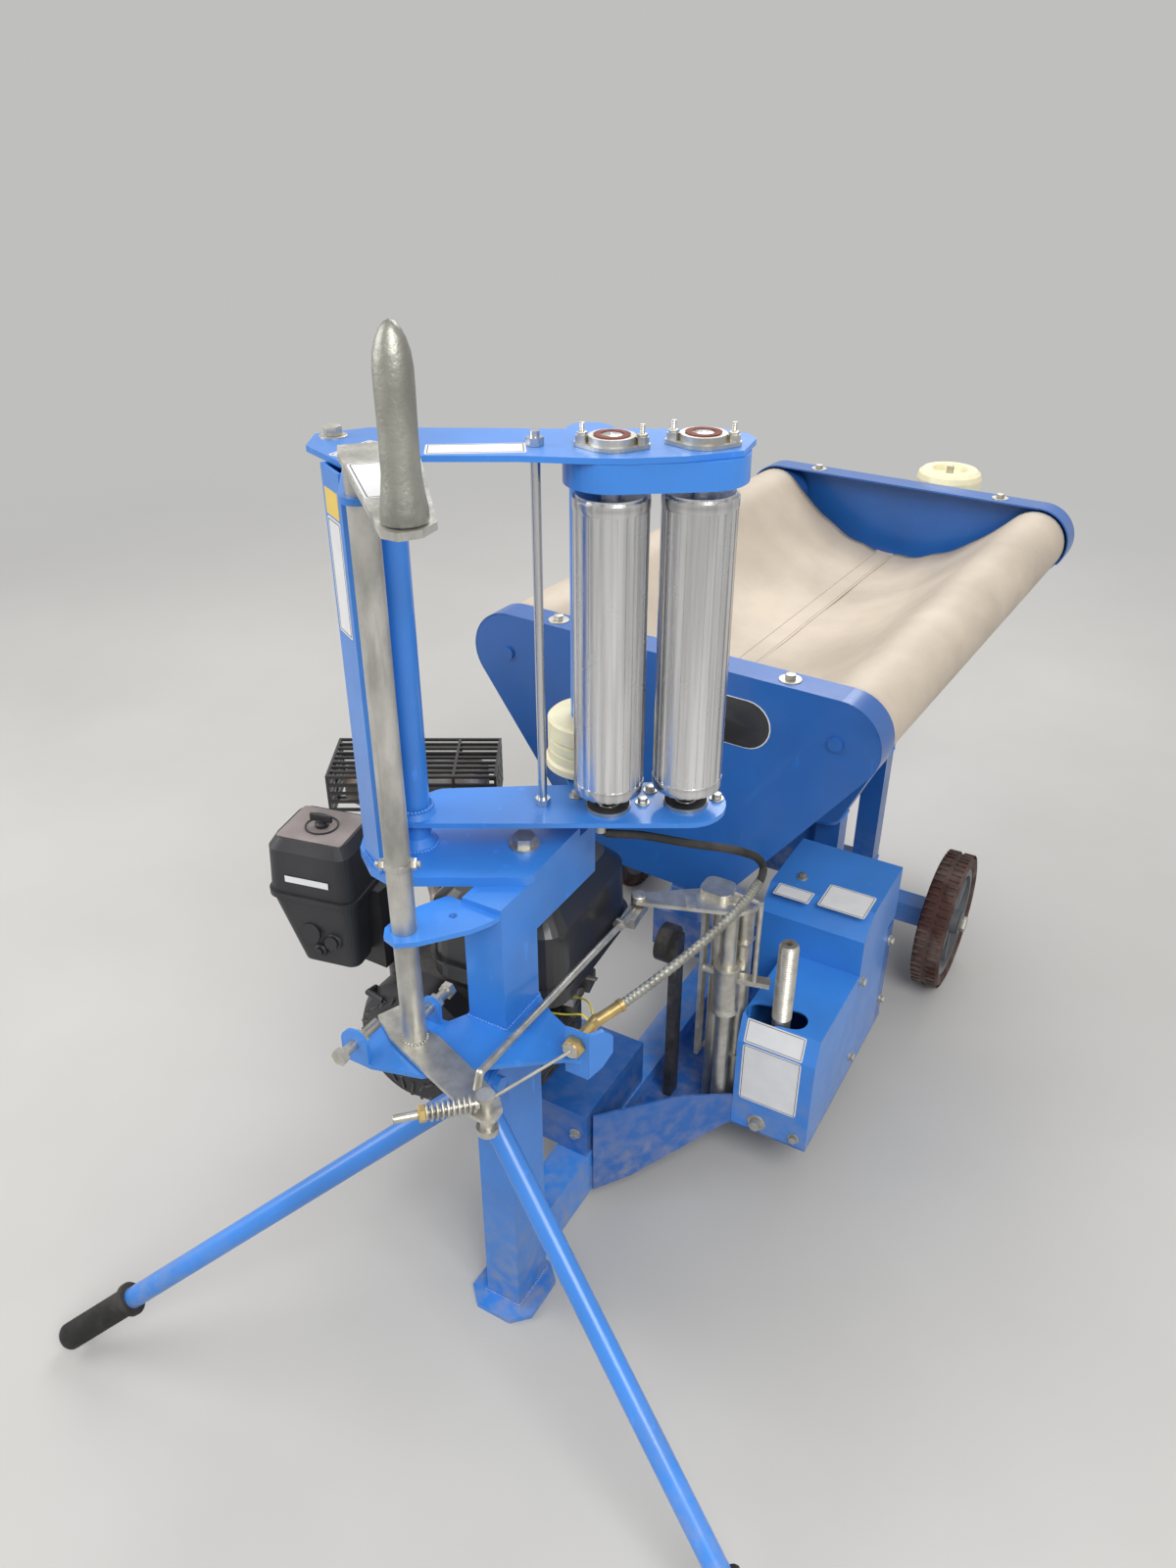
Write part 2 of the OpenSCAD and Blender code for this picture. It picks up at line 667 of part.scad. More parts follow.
engine_at = [-170, 210];
block_top = bed_z + seat_gap + block_h;
bed_front = 158;
beam_top = beam_z + beam_h;
module engine_bed() {
  color(dark_blue) {
    translate([-285, bed_front, bed_z - 5]) cube([307, 172, 5]);
    translate([-285, bed_front, bed_z - 75]) cube([307, 5, 72]);
    translate([-285, bed_front, bed_z - 45]) cube([5, 172, 42]);
    translate([-25, bed_front, beam_top + seat_gap]) cube([47, 172, bed_z - 4 - beam_top - seat_gap]);
  }
}
module engine_block() {
  color(black) translate([engine_at.x, engine_at.y, bed_z + seat_gap]) {
    linear_extrude(block_h) rounded(block_w, block_d, 20);
  }
}
starter_at = [-192, engine_at.y - block_d / 2 - seat_gap, 296];
module starter_cover() {
  color(black) translate(starter_at) rotate([90, 0, 0]) rotate_extrude($fn = 64)
    polygon([[0, 0], [starter_r, 0], [starter_r, 34], [starter_r - 8, 48], [starter_r - 26, 54],
      [starter_r - 30, 66], [0, 70]]);
}
cleaner_at = [-326, 82];
cleaner_z = 516;
module air_cleaner() {
  color(black) translate([cleaner_at.x, cleaner_at.y, cleaner_z]) rotate(12) {
    hull() {
      translate([0, 0, 7]) linear_extrude(1) rounded(122, 106, 18);
      translate([0, 0, 70]) linear_extrude(1) rounded(116, 100, 18);
      translate([0, 0, 84]) linear_extrude(1) rounded(98, 82, 16);
    }
    linear_extrude(8) rounded(128, 112, 20);
    hull() {
      translate([0, 0, -4]) linear_extrude(5) rounded(120, 104, 18);
      translate([14, -22, -100]) linear_extrude(1) rounded(82, 50, 14);
    }
  }
  color(black) translate([-292, 92, block_top + seat_gap]) cube([40, 42, cleaner_z - block_top]);
}
tank_at = [-92, 209];
module fuel_tank() {
  color(black) translate([tank_at.x, tank_at.y, 0]) rotate(4) {
    hull() {
      translate([0, 0, block_top + seat_gap]) linear_extrude(1) rounded(150, 180, 26);
      translate([0, 0, block_top + 26]) linear_extrude(1) rounded(196, 226, 34);
      translate([0, 0, 522]) linear_extrude(1) rounded(190, 220, 34);
      translate([0, 0, 544]) linear_extrude(1) rounded(150, 180, 26);
    }
    translate([0, 0, block_top + 50]) linear_extrude(5) rounded(206, 236, 38);
  }
}
muffler_at = [-385, 352, 486];
guard = [250, 118, 74];
module muffler() {
  color([0.35, 0.28, 0.22]) {
    translate(muffler_at) rotate(30) hull() {
      translate([0, 0, 0]) linear_extrude(1) rounded(190, 62, 20);
      translate([0, 0, 14]) linear_extrude(28) rounded(214, 86, 26);
      translate([0, 0, 52]) linear_extrude(1) rounded(190, 62, 20);
    }
    flange_x = engine_at.x - block_w / 2 - seat_gap;
    wire([[-330, 372, 500], [-330, 300, 400], [flange_x - 28, 280, 370], [flange_x, 280, 370]], 26);
  }
}
module muffler_guard() {
  color(black) translate([muffler_at.x, muffler_at.y, muffler_at.z - 4 - seat_gap]) rotate(30) {
    linear_extrude(4) lattice(guard.x, guard.y, 2, 2, 4);
    translate([0, 0, guard.z - 4]) linear_extrude(4) lattice(guard.x, guard.y, 4, 8, 4);
    for (s = [-1, 1]) {
      translate([0, s * (guard.y / 2 - 2), guard.z / 2]) rotate([90, 0, 0])
        linear_extrude(4, center = true) lattice(guard.x, guard.z, 4, 5, 4);
      translate([s * (guard.x / 2 - 2), 0, guard.z / 2]) rotate([90, 0, 90])
        linear_extrude(4, center = true) lattice(guard.y, guard.z, 2, 5, 4);
    }
  }
}
module drive_pulleys() {
  color(steel_dark) {
    translate([-192, engine_at.y + block_d / 2 + seat_gap, 296]) rotate([-90, 0, 0]) {
      cylinder(d = 25, h = 60);
      translate([0, 0, 12]) cylinder(d = 96, h = 12);
      translate([0, 0, 24]) cylinder(d = 84, h = 10);
      translate([0, 0, 34]) cylinder(d = 96, h = 12);
    }
    translate([52, 342, tray_top]) cube([12, 24, 300]);
    translate([34, 354, 372]) rotate([0, 90, 0]) cylinder(d = 56, h = 20);
    translate([34, 354, 372]) rotate([0, 90, 0]) cylinder(d = 18, h = 30);
  }
}

// Drive covers: three folded boxes on the tray

low_z1 = 290;
tall_z1 = 383;
tall_y0 = 518;
module cover_solid(x0, x1, y0, outline) {
  translate([x0, y0, tray_top]) rotate([90, 0, 90]) linear_extrude(x1 - x0) polygon(outline);
}
module drive_cover_low() {
  h = low_z1 - tray_top;
  d = tall_y0 - seat_gap - cover_y0;
  color(blue) difference() {
    cover_solid(low_x, cover_x, cover_y0, [[0, 0], [0, h - 40], [12, h], [d, h], [d, 0]]);
    cover_solid(low_x + 3, cover_x - 3, cover_y0 + 3,
      [[0, -1], [0, h - 41], [11, h - 3], [d, h - 3], [d, -1]]);
    translate([screw_at.x - 8, screw_at.y + 3, low_z1 - 20]) rotate(12) linear_extrude(40) hull()
      for (s = [-1, 1]) translate([s * 24, 0]) circle(20, $fn = 32);
  }
}
module drive_cover_tall() {
  h = tall_z1 - tray_top;
  d = cover_y1 - tall_y0;
  color(blue) difference() {
    cover_solid(118, cover_x, tall_y0,
      [[0, 0], [0, h - 32], [36, h], [d, h], [d, 200], [d - 34, 200], [d - 34, 0]]);
    cover_solid(121, cover_x - 3, tall_y0 + 3,
      [[0, -1], [0, h - 34], [36, h - 4], [d - 6, h - 4], [d - 6, 203], [d - 40, 203], [d - 40, -1]]);
  }
}
module drive_cover_rear() {
  color(dark_blue) difference() {
    translate([172, cover_y1 - 33.7, tray_top]) cube([cover_x - 172, 30, 195]);
    translate([175, cover_y1 - 40, tray_top + 10]) cube([cover_x - 178, 32, 180]);
  }
}

// Turntable base and the table on it

bearing_z = base_z + seat_gap;
table_bottom = table_z - table_depth;
swivel_d = 60;
module turntable_base() {
  color(dark_blue) translate([0, hub_y, 0]) {
    translate([0, 0, base_z - plate_t - 110 - seat_gap]) linear_extrude(110) rounded(200, 200, 20);
    translate([0, 0, bearing_z]) cylinder(d = 190, h = 11 - seat_gap);
    translate([0, 0, bearing_z]) cylinder(d = swivel_d, h = 34);
  }
}
module table_hub() {
  color(steel_dark) translate([0, hub_y, 0]) difference() {
    translate([0, 0, bearing_z + 11]) cylinder(d = 170, h = table_bottom - bearing_z - 11 - seat_gap);
    translate([0, 0, bearing_z]) cylinder(d = swivel_d + 2 * run_gap, h = 50);
  }
}
sheet_t = 3;
end_y = table_len / 2;
roller_x = table_w / 2 - 60;
roller_z = table_z - 60;
roller_pin = 20;
module end_outline() {
  h = table_depth;
  difference() {
    hull() {
      for (s = [-1, 1]) translate([s * roller_x, h - 60]) circle(60, $fn = 48);
      for (s = [-1, 1]) translate([s * 108, 2]) circle(2, $fn = 12);
    }
    for (s = [-1, 1]) translate([s * roller_x, h - 60]) circle(d = roller_pin + 2 * run_gap);
  }
}
module table_frame() {
  color(dark_blue) on_table() {
    for (s = [-1, 1]) {
      translate([0, s * (end_y - sheet_t / 2), table_bottom]) rotate([90, 0, 0])
        linear_extrude(sheet_t, center = true) end_outline();
      translate([0, s * (end_y - flange_w / 2), table_z - 1.5])
        cube([2 * roller_x, flange_w, 3], center = true);
    }
    translate([0, 0, table_bottom]) linear_extrude(sheet_t) difference() {
      square([214, table_len - 2 * sheet_t], center = true);
      circle(d = swivel_d + 20);
    }
    for (s = [-1, 1]) translate([s * 104, 0, table_bottom + 30])
      cube([sheet_t, table_len - 2 * sheet_t, 60], center = true);
  }
}
roller_len = table_len - 2 * sheet_t - 16;
module belt_roller(s) {
  color(canvas) on_table() translate([s * roller_x, 0, roller_z]) rotate([90, 0, 0]) {
    cylinder(d = belt_roller_d, h = roller_len, center = true, $fn = 64);
    cylinder(d = roller_pin, h = table_len + 8, center = true);
  }
}
belt_len = table_len - 2 * flange_w - 10;
// Section of the belt's loop at a distance r from the rollers' axes
loop_n = 32;
function sag_run(w, y0, s, m) = [for (i = [1 : m - 1]) let (x = 2 * i / m - 1) [w * x, y0 + s * x * x]];
function belt_loop(r) = let (
    a0 = 90 + belt_wrap, w = roller_x + r * cos(a0), s = w * tan(belt_wrap) / 2,
    b0 = belt_hang - 90, v = roller_x + r * cos(b0), u = v * tan(belt_hang) / 2,
    up = sag_run(w, r * sin(a0) - s, s, 24), down = sag_run(v, r * sin(b0) - u, u, 16),
    side = [for (i = [0 : loop_n]) let (a = b0 + (a0 - b0) * i / loop_n)
      [roller_x + r * cos(a), r * sin(a)]])
  concat(side, [for (i = [len(up) - 1 : -1 : 0]) up[i]],
    [for (i = [loop_n : -1 : 0]) [-side[i].x, side[i].y]], down);
module table_belt() {
  r = belt_roller_d / 2 + seat_gap;
  color(canvas) on_table() translate([0, 0, roller_z]) rotate([90, 0, 0])
    linear_extrude(belt_len, center = true) difference() {
      polygon(belt_loop(r + belt_t));
      polygon(belt_loop(r));
    }
}

// Guide wheel at the table's far end, on a bent arm

guide_d = 122;
guide_w = 48;
guide_at = [52, end_y + 69, 736];
guide_axle = 14;
guide_foot = [-12, table_z - 90];
module guide_arm() {
  color(zinc) on_table() {
    translate([guide_foot.x, end_y + seat_gap, guide_foot.y]) rotate([-90, 0, 0]) {
      cylinder(d = 44, h = 6);
      cylinder(d = 24, h = 16, $fn = 6);
    }
    wire([[guide_foot.x, end_y + 14, guide_foot.y], [guide_foot.x + 4, end_y + 30, guide_foot.y + 6],
      [guide_at.x, guide_at.y, guide_at.z - 12]], 16);
    translate([guide_at.x, guide_at.y, guide_at.z - 20]) cylinder(d = 26, h = 20 - seat_gap);
    translate([guide_at.x, guide_at.y, guide_at.z - 10]) cylinder(d = guide_axle, h = guide_w + 16);
  }
}
module guide_wheel() {
  r = guide_d / 2;
  color(cream) on_table() translate(guide_at) difference() {
    rotate_extrude($fn = 64) polygon([[0, 0], [r - 10, 0], [r - 3, 6], [r, 16], [r, guide_w - 16],
      [r - 3, guide_w - 6], [r - 10, guide_w], [34, guide_w], [30, guide_w - 10], [0, guide_w - 10]]);
    translate([0, 0, -1]) cylinder(d = guide_axle + 2 * run_gap, h = guide_w + 2);
  }
}

// Handles: two crossed tubes on the hinge bolt, welded where they cross

// Tubes of the handles: start point, end point on the floor side
tubes = [[[-10, hinge_y - 1, hinge_z - 4], [500, -275, 20]], [[14, hinge_y - 1, hinge_z], [-452, -367, 20]]];
sleeve = 2 * ear_x - ear_t - 1;
module handle_frame(i) {
  v = tubes[i][1] - tubes[i][0];
  translate(tubes[i][0]) rotate([0, acos(v.z / norm(v)), atan2(v.y, v.x)]) children();
}
module hinge_tube(d, h) {
  translate([0, hinge_y, hinge_z]) rotate([0, 90, 0]) cylinder(d = d, h = h, center = true);
}
module handle(i) {
  len = norm(tubes[i][1] - tubes[i][0]);
  start = i * (handle_d + 3);
  color(blue) difference() {
    union() {
      handle_frame(i) translate([0, 0, start]) cylinder(d = handle_d, h = len - rubber_len + 60 - start);
      if (i == 0) hinge_tube(24, sleeve);
    }
    if (i == 0) hinge_tube(hinge_d + 2 * run_gap, 80);
    if (i == 1) {
      handle_frame(0) cylinder(d = handle_d + 2 * seat_gap, h = 120, center = true);
      hinge_tube(24 + 2 * seat_gap, sleeve + 4);
    }
  }
}
module grip(i) {
  len = norm(tubes[i][1] - tubes[i][0]);
  color(black) handle_frame(i) translate([0, 0, len - rubber_len]) difference() {
    union() {
      cylinder(d = handle_d + 8, h = rubber_len);
      cylinder(d = handle_d + 16, h = 6);
    }
    translate([0, 0, -1]) cylinder(d = handle_d + 2 * seat_gap, h = 61.3);
  }
}

front_frame();
handle_bracket();
rear_frame();
drive_tray();
mid_plate();
stop_bolts();
post_head();
column();
top_arm();
lower_arm();
roller_head();
film_bearings();
tie_rod();
film_spindle();
film_core();
film_roller(film_a);  // film_roller_a
film_roller(film_b);  // film_roller_b
control_pipe();
control_grip();
low_lever();
return_spring();
cable_ends();
conduit();
clutch_rod();
clutch_arm();
clutch_post();
stroke_screw();
engine_bed();
engine_block();
starter_cover();
air_cleaner();
fuel_tank();
muffler();
muffler_guard();
drive_pulleys();
drive_cover_low();
drive_cover_tall();
drive_cover_rear();
turntable_base();
table_hub();
table_frame();
table_belt();
belt_roller(-1);  // belt_roller_left
belt_roller(1);  // belt_roller_right
guide_arm();
guide_wheel();
axle();
tyre(-1);  // tyre_left
tyre(1);  // tyre_right
rim(-1);  // rim_left
rim(1);  // rim_right
handle(1);  // handle_left
handle(0);  // handle_right
grip(1);  // grip_left
grip(0);  // grip_right
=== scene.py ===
"""Looks of a towable round bale wrapper: finishes, fasteners, belt cloth, spring, labels and stage."""
import json
import math

import bmesh
import bpy
from mathutils import Matrix, Vector


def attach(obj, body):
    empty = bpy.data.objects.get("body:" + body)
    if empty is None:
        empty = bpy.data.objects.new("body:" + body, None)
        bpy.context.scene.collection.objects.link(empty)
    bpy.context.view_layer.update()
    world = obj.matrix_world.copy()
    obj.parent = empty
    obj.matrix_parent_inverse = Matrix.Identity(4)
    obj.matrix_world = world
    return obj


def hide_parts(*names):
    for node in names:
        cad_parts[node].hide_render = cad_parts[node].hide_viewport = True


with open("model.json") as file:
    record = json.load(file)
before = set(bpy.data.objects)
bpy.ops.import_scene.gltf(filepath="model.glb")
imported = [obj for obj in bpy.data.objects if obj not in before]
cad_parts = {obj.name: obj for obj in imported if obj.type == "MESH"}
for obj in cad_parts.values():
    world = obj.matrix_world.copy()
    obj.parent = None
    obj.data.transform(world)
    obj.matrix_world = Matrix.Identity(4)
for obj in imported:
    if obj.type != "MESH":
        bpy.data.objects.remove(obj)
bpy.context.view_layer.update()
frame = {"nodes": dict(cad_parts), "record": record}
NODES = frame["nodes"]

bl_info = {
    "name": "Bale Wrapper Dress",
    "version": (1, 0, 0),
    "blender": (4, 5, 0),
    "location": "View3D > Sidebar > Bale Wrapper",
    "description": "Finishes and small fittings of a round bale wrapper",
    "category": "Object",
}

MM = 0.001


def mm(*point):
    """A point given in millimetres, in metres."""
    return Vector(point) * MM


def put(x, y, z=0.0, turn=0.0):
    """A placement in millimetres, turned about its upright axis by degrees."""
    return Matrix.Translation(mm(x, y, z)) @ Matrix.Rotation(math.radians(turn), 4, "Z")


# Turns in degrees, and the placements of the head, the table, the column and the air cleaner
HEAD_TURN = 30
TABLE_TURN = -3
HERE = Matrix.Identity(4)
IN_HEAD = put(0, 0, 0, HEAD_TURN)
ON_TABLE = put(0, 920, 0, TABLE_TURN)
COLUMN = put(-119, -46, 0, 60.6)
CLEANER = put(-326, 82, 516, 12)
UP = (0, 0, 1)
FRONT = (0, -1, 0)
RIGHT = (1, 0, 0)

# Heights and places shared by several pieces, in millimetres
FILM_A = (124, 91)
FILM_B = (212, 100)
TUBE_AT = (-93, 80)
ARM_Z = 720
ARM_TOP = 1124
HEAD_Z = 679
MID_Z = 500
TABLE_Z = 770
TABLE_BOTTOM = 410
END_Y = 480
ROLLER_X = 255
ROLLER_Z = 710
ROLLER_R = 52
FLANGE_W = 45
PIPE_AT = (-51, -95)
TAIL_AT = (78, -144)
SPRING_Z = 518.8
CABLE = [(117, 14, 521), (139, 62, 531), (173, 134, 556), (203, 197, 587), (217, 232, 616)]
CLUTCH_TUBE = (140, 345)
CLUTCH_PIN = (27, 292)
WHEEL_AT = (313, 950, 125)
NUT_X = 343

# The belt: half its width, its angles of wrap and hang in degrees, and the trough's shape
BELT_HALF = 430.0
WRAP = 46
HANG = 20
TROUGH_HALF = 215.2
TROUGH_DEPTH = 111.4
LAP_FROM, LAP_RIDGE, LAP_TO = -31.0, -14.0, 3.0

# The stage: backdrop colour, camera and the soft lamps' names, places, sizes and shares of power
BACKDROP = (0.52, 0.52, 0.515)
CAMERA_AT = (0.608, -0.851, 1.42)
CAMERA_TILT = 59.34
LAMP_AIM = (0, 0.5, 0.5)
LAMPS = (("key", (2.2, -1.6, 1.0), 2.4, 1.0), ("fill", (-2.6, -1.2, 0.7), 2.8, 0.55),
         ("rim", (-0.6, 3.4, 1.1), 2.6, 0.8))


def new_node(tree, kind, links=None, values=None, **settings):
    """A node of a tree with its settings, values and links."""
    node = tree.nodes.new(kind)
    for key, value in settings.items():
        setattr(node, key, value)
    for key, value in (values or {}).items():
        node.inputs[key].default_value = value
    for key, socket in (links or {}).items():
        tree.links.new(socket, node.inputs[key])
    return node


class Finish:
    """A principled material whose colour, roughness and bump come from noise on object coordinates."""

    def __init__(self, name, roughness=0.5, metallic=0.0, coat=0.0, specular=0.5):
        self.mat = bpy.data.materials.new(name)
        self.mat.use_nodes = True
        self.tree = self.mat.node_tree
        self.inputs = self.tree.nodes["Principled BSDF"].inputs
        values = {"Roughness": roughness, "Metallic": metallic, "Coat Weight": coat,
                  "Coat Roughness": 0.12, "Specular IOR Level": specular}
        for key, value in values.items():
            self.inputs[key].default_value = value
        self.place = self.add("ShaderNodeTexCoord").outputs["Object"]
        self.height = None

    def add(self, kind, links=None, values=None, **settings):
        return new_node(self.tree, kind, links, values, **settings)

    def feed(self, target, value):
        """Links a socket to an input, or sets the input to a number or a colour."""
        if isinstance(value, tuple):
            target.default_value = (*value, 1)
        elif isinstance(value, (int, float)):
            target.default_value = value
        else:
            self.tree.links.new(value, target)

    def noise(self, scale, detail=3.0, stretch=None):
        place = self.place
        if stretch:
            place = self.add("ShaderNodeMapping", {"Vector": place}, {"Scale": stretch}).outputs["Vector"]
        values = {"Scale": scale, "Detail": detail, "Roughness": 0.55}
        return self.add("ShaderNodeTexNoise", {"Vector": place}, values).outputs["Fac"]

    def waves(self, scale, axis, distortion):
        values = {"Scale": scale, "Distortion": distortion}
        node = self.add("ShaderNodeTexWave", {"Vector": self.place}, values, bands_direction=axis)
        return node.outputs["Fac"]

    def ramp(self, factor, low, high, start=0.35, end=0.65):
        node = self.add("ShaderNodeValToRGB", {"Fac": factor})
        for element, position, colour in zip(node.color_ramp.elements, (start, end), (low, high)):
            element.position = position
            element.color = (*colour, 1)
        return node.outputs["Color"]

    def band(self, factor, start, end):
        values = {"From Min": start, "From Max": end}
        return self.add("ShaderNodeMapRange", {"Value": factor}, values).outputs["Result"]

    def along(self, axis):
        return self.add("ShaderNodeSeparateXYZ", {"Vector": self.place}).outputs[axis]

    def times(self, first, second):
        node = self.add("ShaderNodeMath", {0: first}, operation="MULTIPLY")
        self.feed(node.inputs[1], second)
        return node.outputs["Value"]

    def blend(self, factor, under, over):
        node = self.add("ShaderNodeMix", {"Factor": factor}, data_type="RGBA")
        for target, value in zip([s for s in node.inputs if s.type == "RGBA"], (under, over)):
            self.feed(target, value)
        return [s for s in node.outputs if s.type == "RGBA"][0]

    def colour(self, socket):
        self.feed(self.inputs["Base Color"], socket)

    def bump(self, factor, strength, depth):
        links = {"Height": factor}
        if self.height:
            links["Normal"] = self.height
        node = self.add("ShaderNodeBump", links, {"Strength": strength, "Distance": depth})
        self.height = node.outputs["Normal"]
        self.feed(self.inputs["Normal"], self.height)

    def coat(self, gloss, *grains):
        """Roughness between two values and bumps one over another, all by noise; gives the material."""
        scale, detail, low, high = gloss
        links, values = {"Value": self.noise(scale, detail)}, {"To Min": low, "To Max": high}
        node = self.add("ShaderNodeMapRange", links, values)
        self.feed(self.inputs["Roughness"], node.outputs["Result"])
        for scale, detail, strength, depth, *stretch in grains:
            self.bump(self.noise(scale, detail, *stretch), strength, depth)
        return self.mat


def shade(colour, factor):
    return tuple(min(1.0, c * factor) for c in colour)


def enamel(name, colour, dust):
    """Sprayed gloss enamel with runs, scuffs and floor dust low down."""
    f = Finish(name, roughness=0.32, coat=0.35)
    body = f.ramp(f.noise(3.5, 4), shade(colour, 0.82), shade(colour, 1.12))
    scuffs = f.band(f.noise(70, 5, (1, 1, 0.25)), 0.66, 0.72)
    worn = f.blend(f.times(scuffs, 0.35), body, shade(colour, 1.55))
    grime = f.times(f.band(f.noise(45, 6), 0.4, 0.8), f.band(f.along("Z"), 0.24, 0.0))
    f.colour(f.blend(f.times(grime, dust), worn, (0.33, 0.3, 0.26)))
    return f.coat((22, 4, 0.22, 0.5), (260, 2, 0.12, 0.0006), (9, 3, 0.25, 0.0012))


def plated(name, colour, tint, shine):
    """Zinc plate with spangle, dull patches and handling marks."""
    f = Finish(name, roughness=shine, metallic=0.92)
    spangle = f.ramp(f.noise(55, 4), shade(colour, 0.72), shade(colour, 1.1), 0.3, 0.7)
    dull = f.band(f.noise(16, 5), 0.5, 0.68)
    f.colour(f.blend(f.times(dull, 0.7), spangle, tint))
    return f.coat((40, 4, shine - 0.1, shine + 0.2), (180, 4, 0.22, 0.0006))


def drawn_metal(name, colour):
    """Bright extruded metal with faint lines along its length."""
    f = Finish(name, roughness=0.24, metallic=1.0)
    lines = f.noise(120, 4, (1, 1, 0.03))
    f.colour(f.ramp(lines, shade(colour, 0.74), colour))
    f.bump(lines, 0.12, 0.0004)
    return f.coat((30, 3, 0.16, 0.34))


def galvanised(name, colour):
    """Rough hot dip zinc, as on the control pipe and its grip."""
    f = Finish(name, roughness=0.42, metallic=0.85)
    patches = f.ramp(f.noise(26, 6, (1, 1, 0.5)), shade(colour, 0.62), shade(colour, 1.08))
    streaks = f.band(f.noise(90, 5, (1, 1, 0.12)), 0.55, 0.72)
    f.colour(f.blend(f.times(streaks, 0.5), patches, (0.32, 0.31, 0.28)))
    return f.coat((60, 5, 0.3, 0.6), (240, 6, 0.5, 0.0011), (38, 3, 0.3, 0.0014))


def moulded(name, colour, grain=420):
    """Grained moulding with light dust in its low spots."""
    f = Finish(name, roughness=0.5)
    f.colour(f.ramp(f.noise(12, 5), shade(colour, 0.75), shade(colour, 1.7), 0.3, 0.8))
    return f.coat((24, 4, 0.38, 0.62), (grain, 2, 0.3, 0.0005))


def rubber(name, colour, dust):
    """Rubber with a dusty bloom."""
    f = Finish(name, roughness=0.75, specular=0.3)
    bloom = f.band(f.noise(18, 6), 0.45, 0.75)
    body = f.ramp(f.noise(40, 3), shade(colour, 0.8), shade(colour, 1.3))
    f.colour(f.blend(f.times(bloom, dust), body, (0.34, 0.29, 0.25)))
    return f.coat((50, 4, 0.6, 0.9), (320, 3, 0.35, 0.0008))


def hot_steel(name, colour):
    """Exhaust steel, browned by heat."""
    f = Finish(name, roughness=0.48, metallic=0.7)
    f.colour(f.ramp(f.noise(16, 5), shade(colour, 0.55), (0.42, 0.4, 0.4)))
    return f.coat((30, 4, 0.35, 0.65), (200, 4, 0.25, 0.0007))


def cast(name, colour):
    """Oiled casting with a sandy skin."""
    f = Finish(name, roughness=0.5, metallic=0.55)
    oil = f.band(f.noise(9, 4), 0.42, 0.66)
    body = f.ramp(f.noise(60, 4), shade(colour, 0.7), shade(colour, 1.5))
    f.colour(f.blend(oil, body, shade(colour, 0.45)))
    return f.coat((12, 4, 0.28, 0.65), (300, 5, 0.45, 0.001))


def canvas(name, colour):
    """Coated canvas: a fine weave under a smooth coat, a little stained, with painted shade along its
    creases.
    """
    f = Finish(name, roughness=0.55, specular=0.4)
    stains = f.ramp(f.noise(5, 5), shade(colour, 0.84), shade(colour, 1.12))
    # Crease lines are only darker colour: painted shade in the creases
    crease_shade = f.band(f.noise(2.6, 6, (1, 0.35, 1)), 0.49, 0.52)
    f.colour(f.blend(f.times(crease_shade, 0.14), stains, shade(colour, 0.6)))
    for axis in ("X", "Y"):
        f.bump(f.waves(240, axis, 0.4), 0.14, 0.0005)
    return f.coat((18, 4, 0.4, 0.66), (9, 5, 0.35, 0.003, (1, 0.4, 1)))


def nylon(name, colour):
    """Cast nylon with a translucent, slightly yellowed skin."""
    f = Finish(name, roughness=0.38)
    f.inputs["Subsurface Weight"].default_value = 0.2
    f.inputs["Subsurface Scale"].default_value = 0.01
    f.colour(f.ramp(f.noise(30, 4), shade(colour, 0.86), colour))
    return f.coat((40, 3, 0.28, 0.5), (150, 3, 0.15, 0.0005))


def paper(name, colour, depth):
    """A blank label's plain sheet or printed rim, without words."""
    f = Finish(name, roughness=0.35, coat=0.3)
    f.colour(f.ramp(f.noise(40, 3), shade(colour, 0.94), colour))
    return f.coat((30, 2, 0.28, 0.42), (120, 2, 0.06, depth))


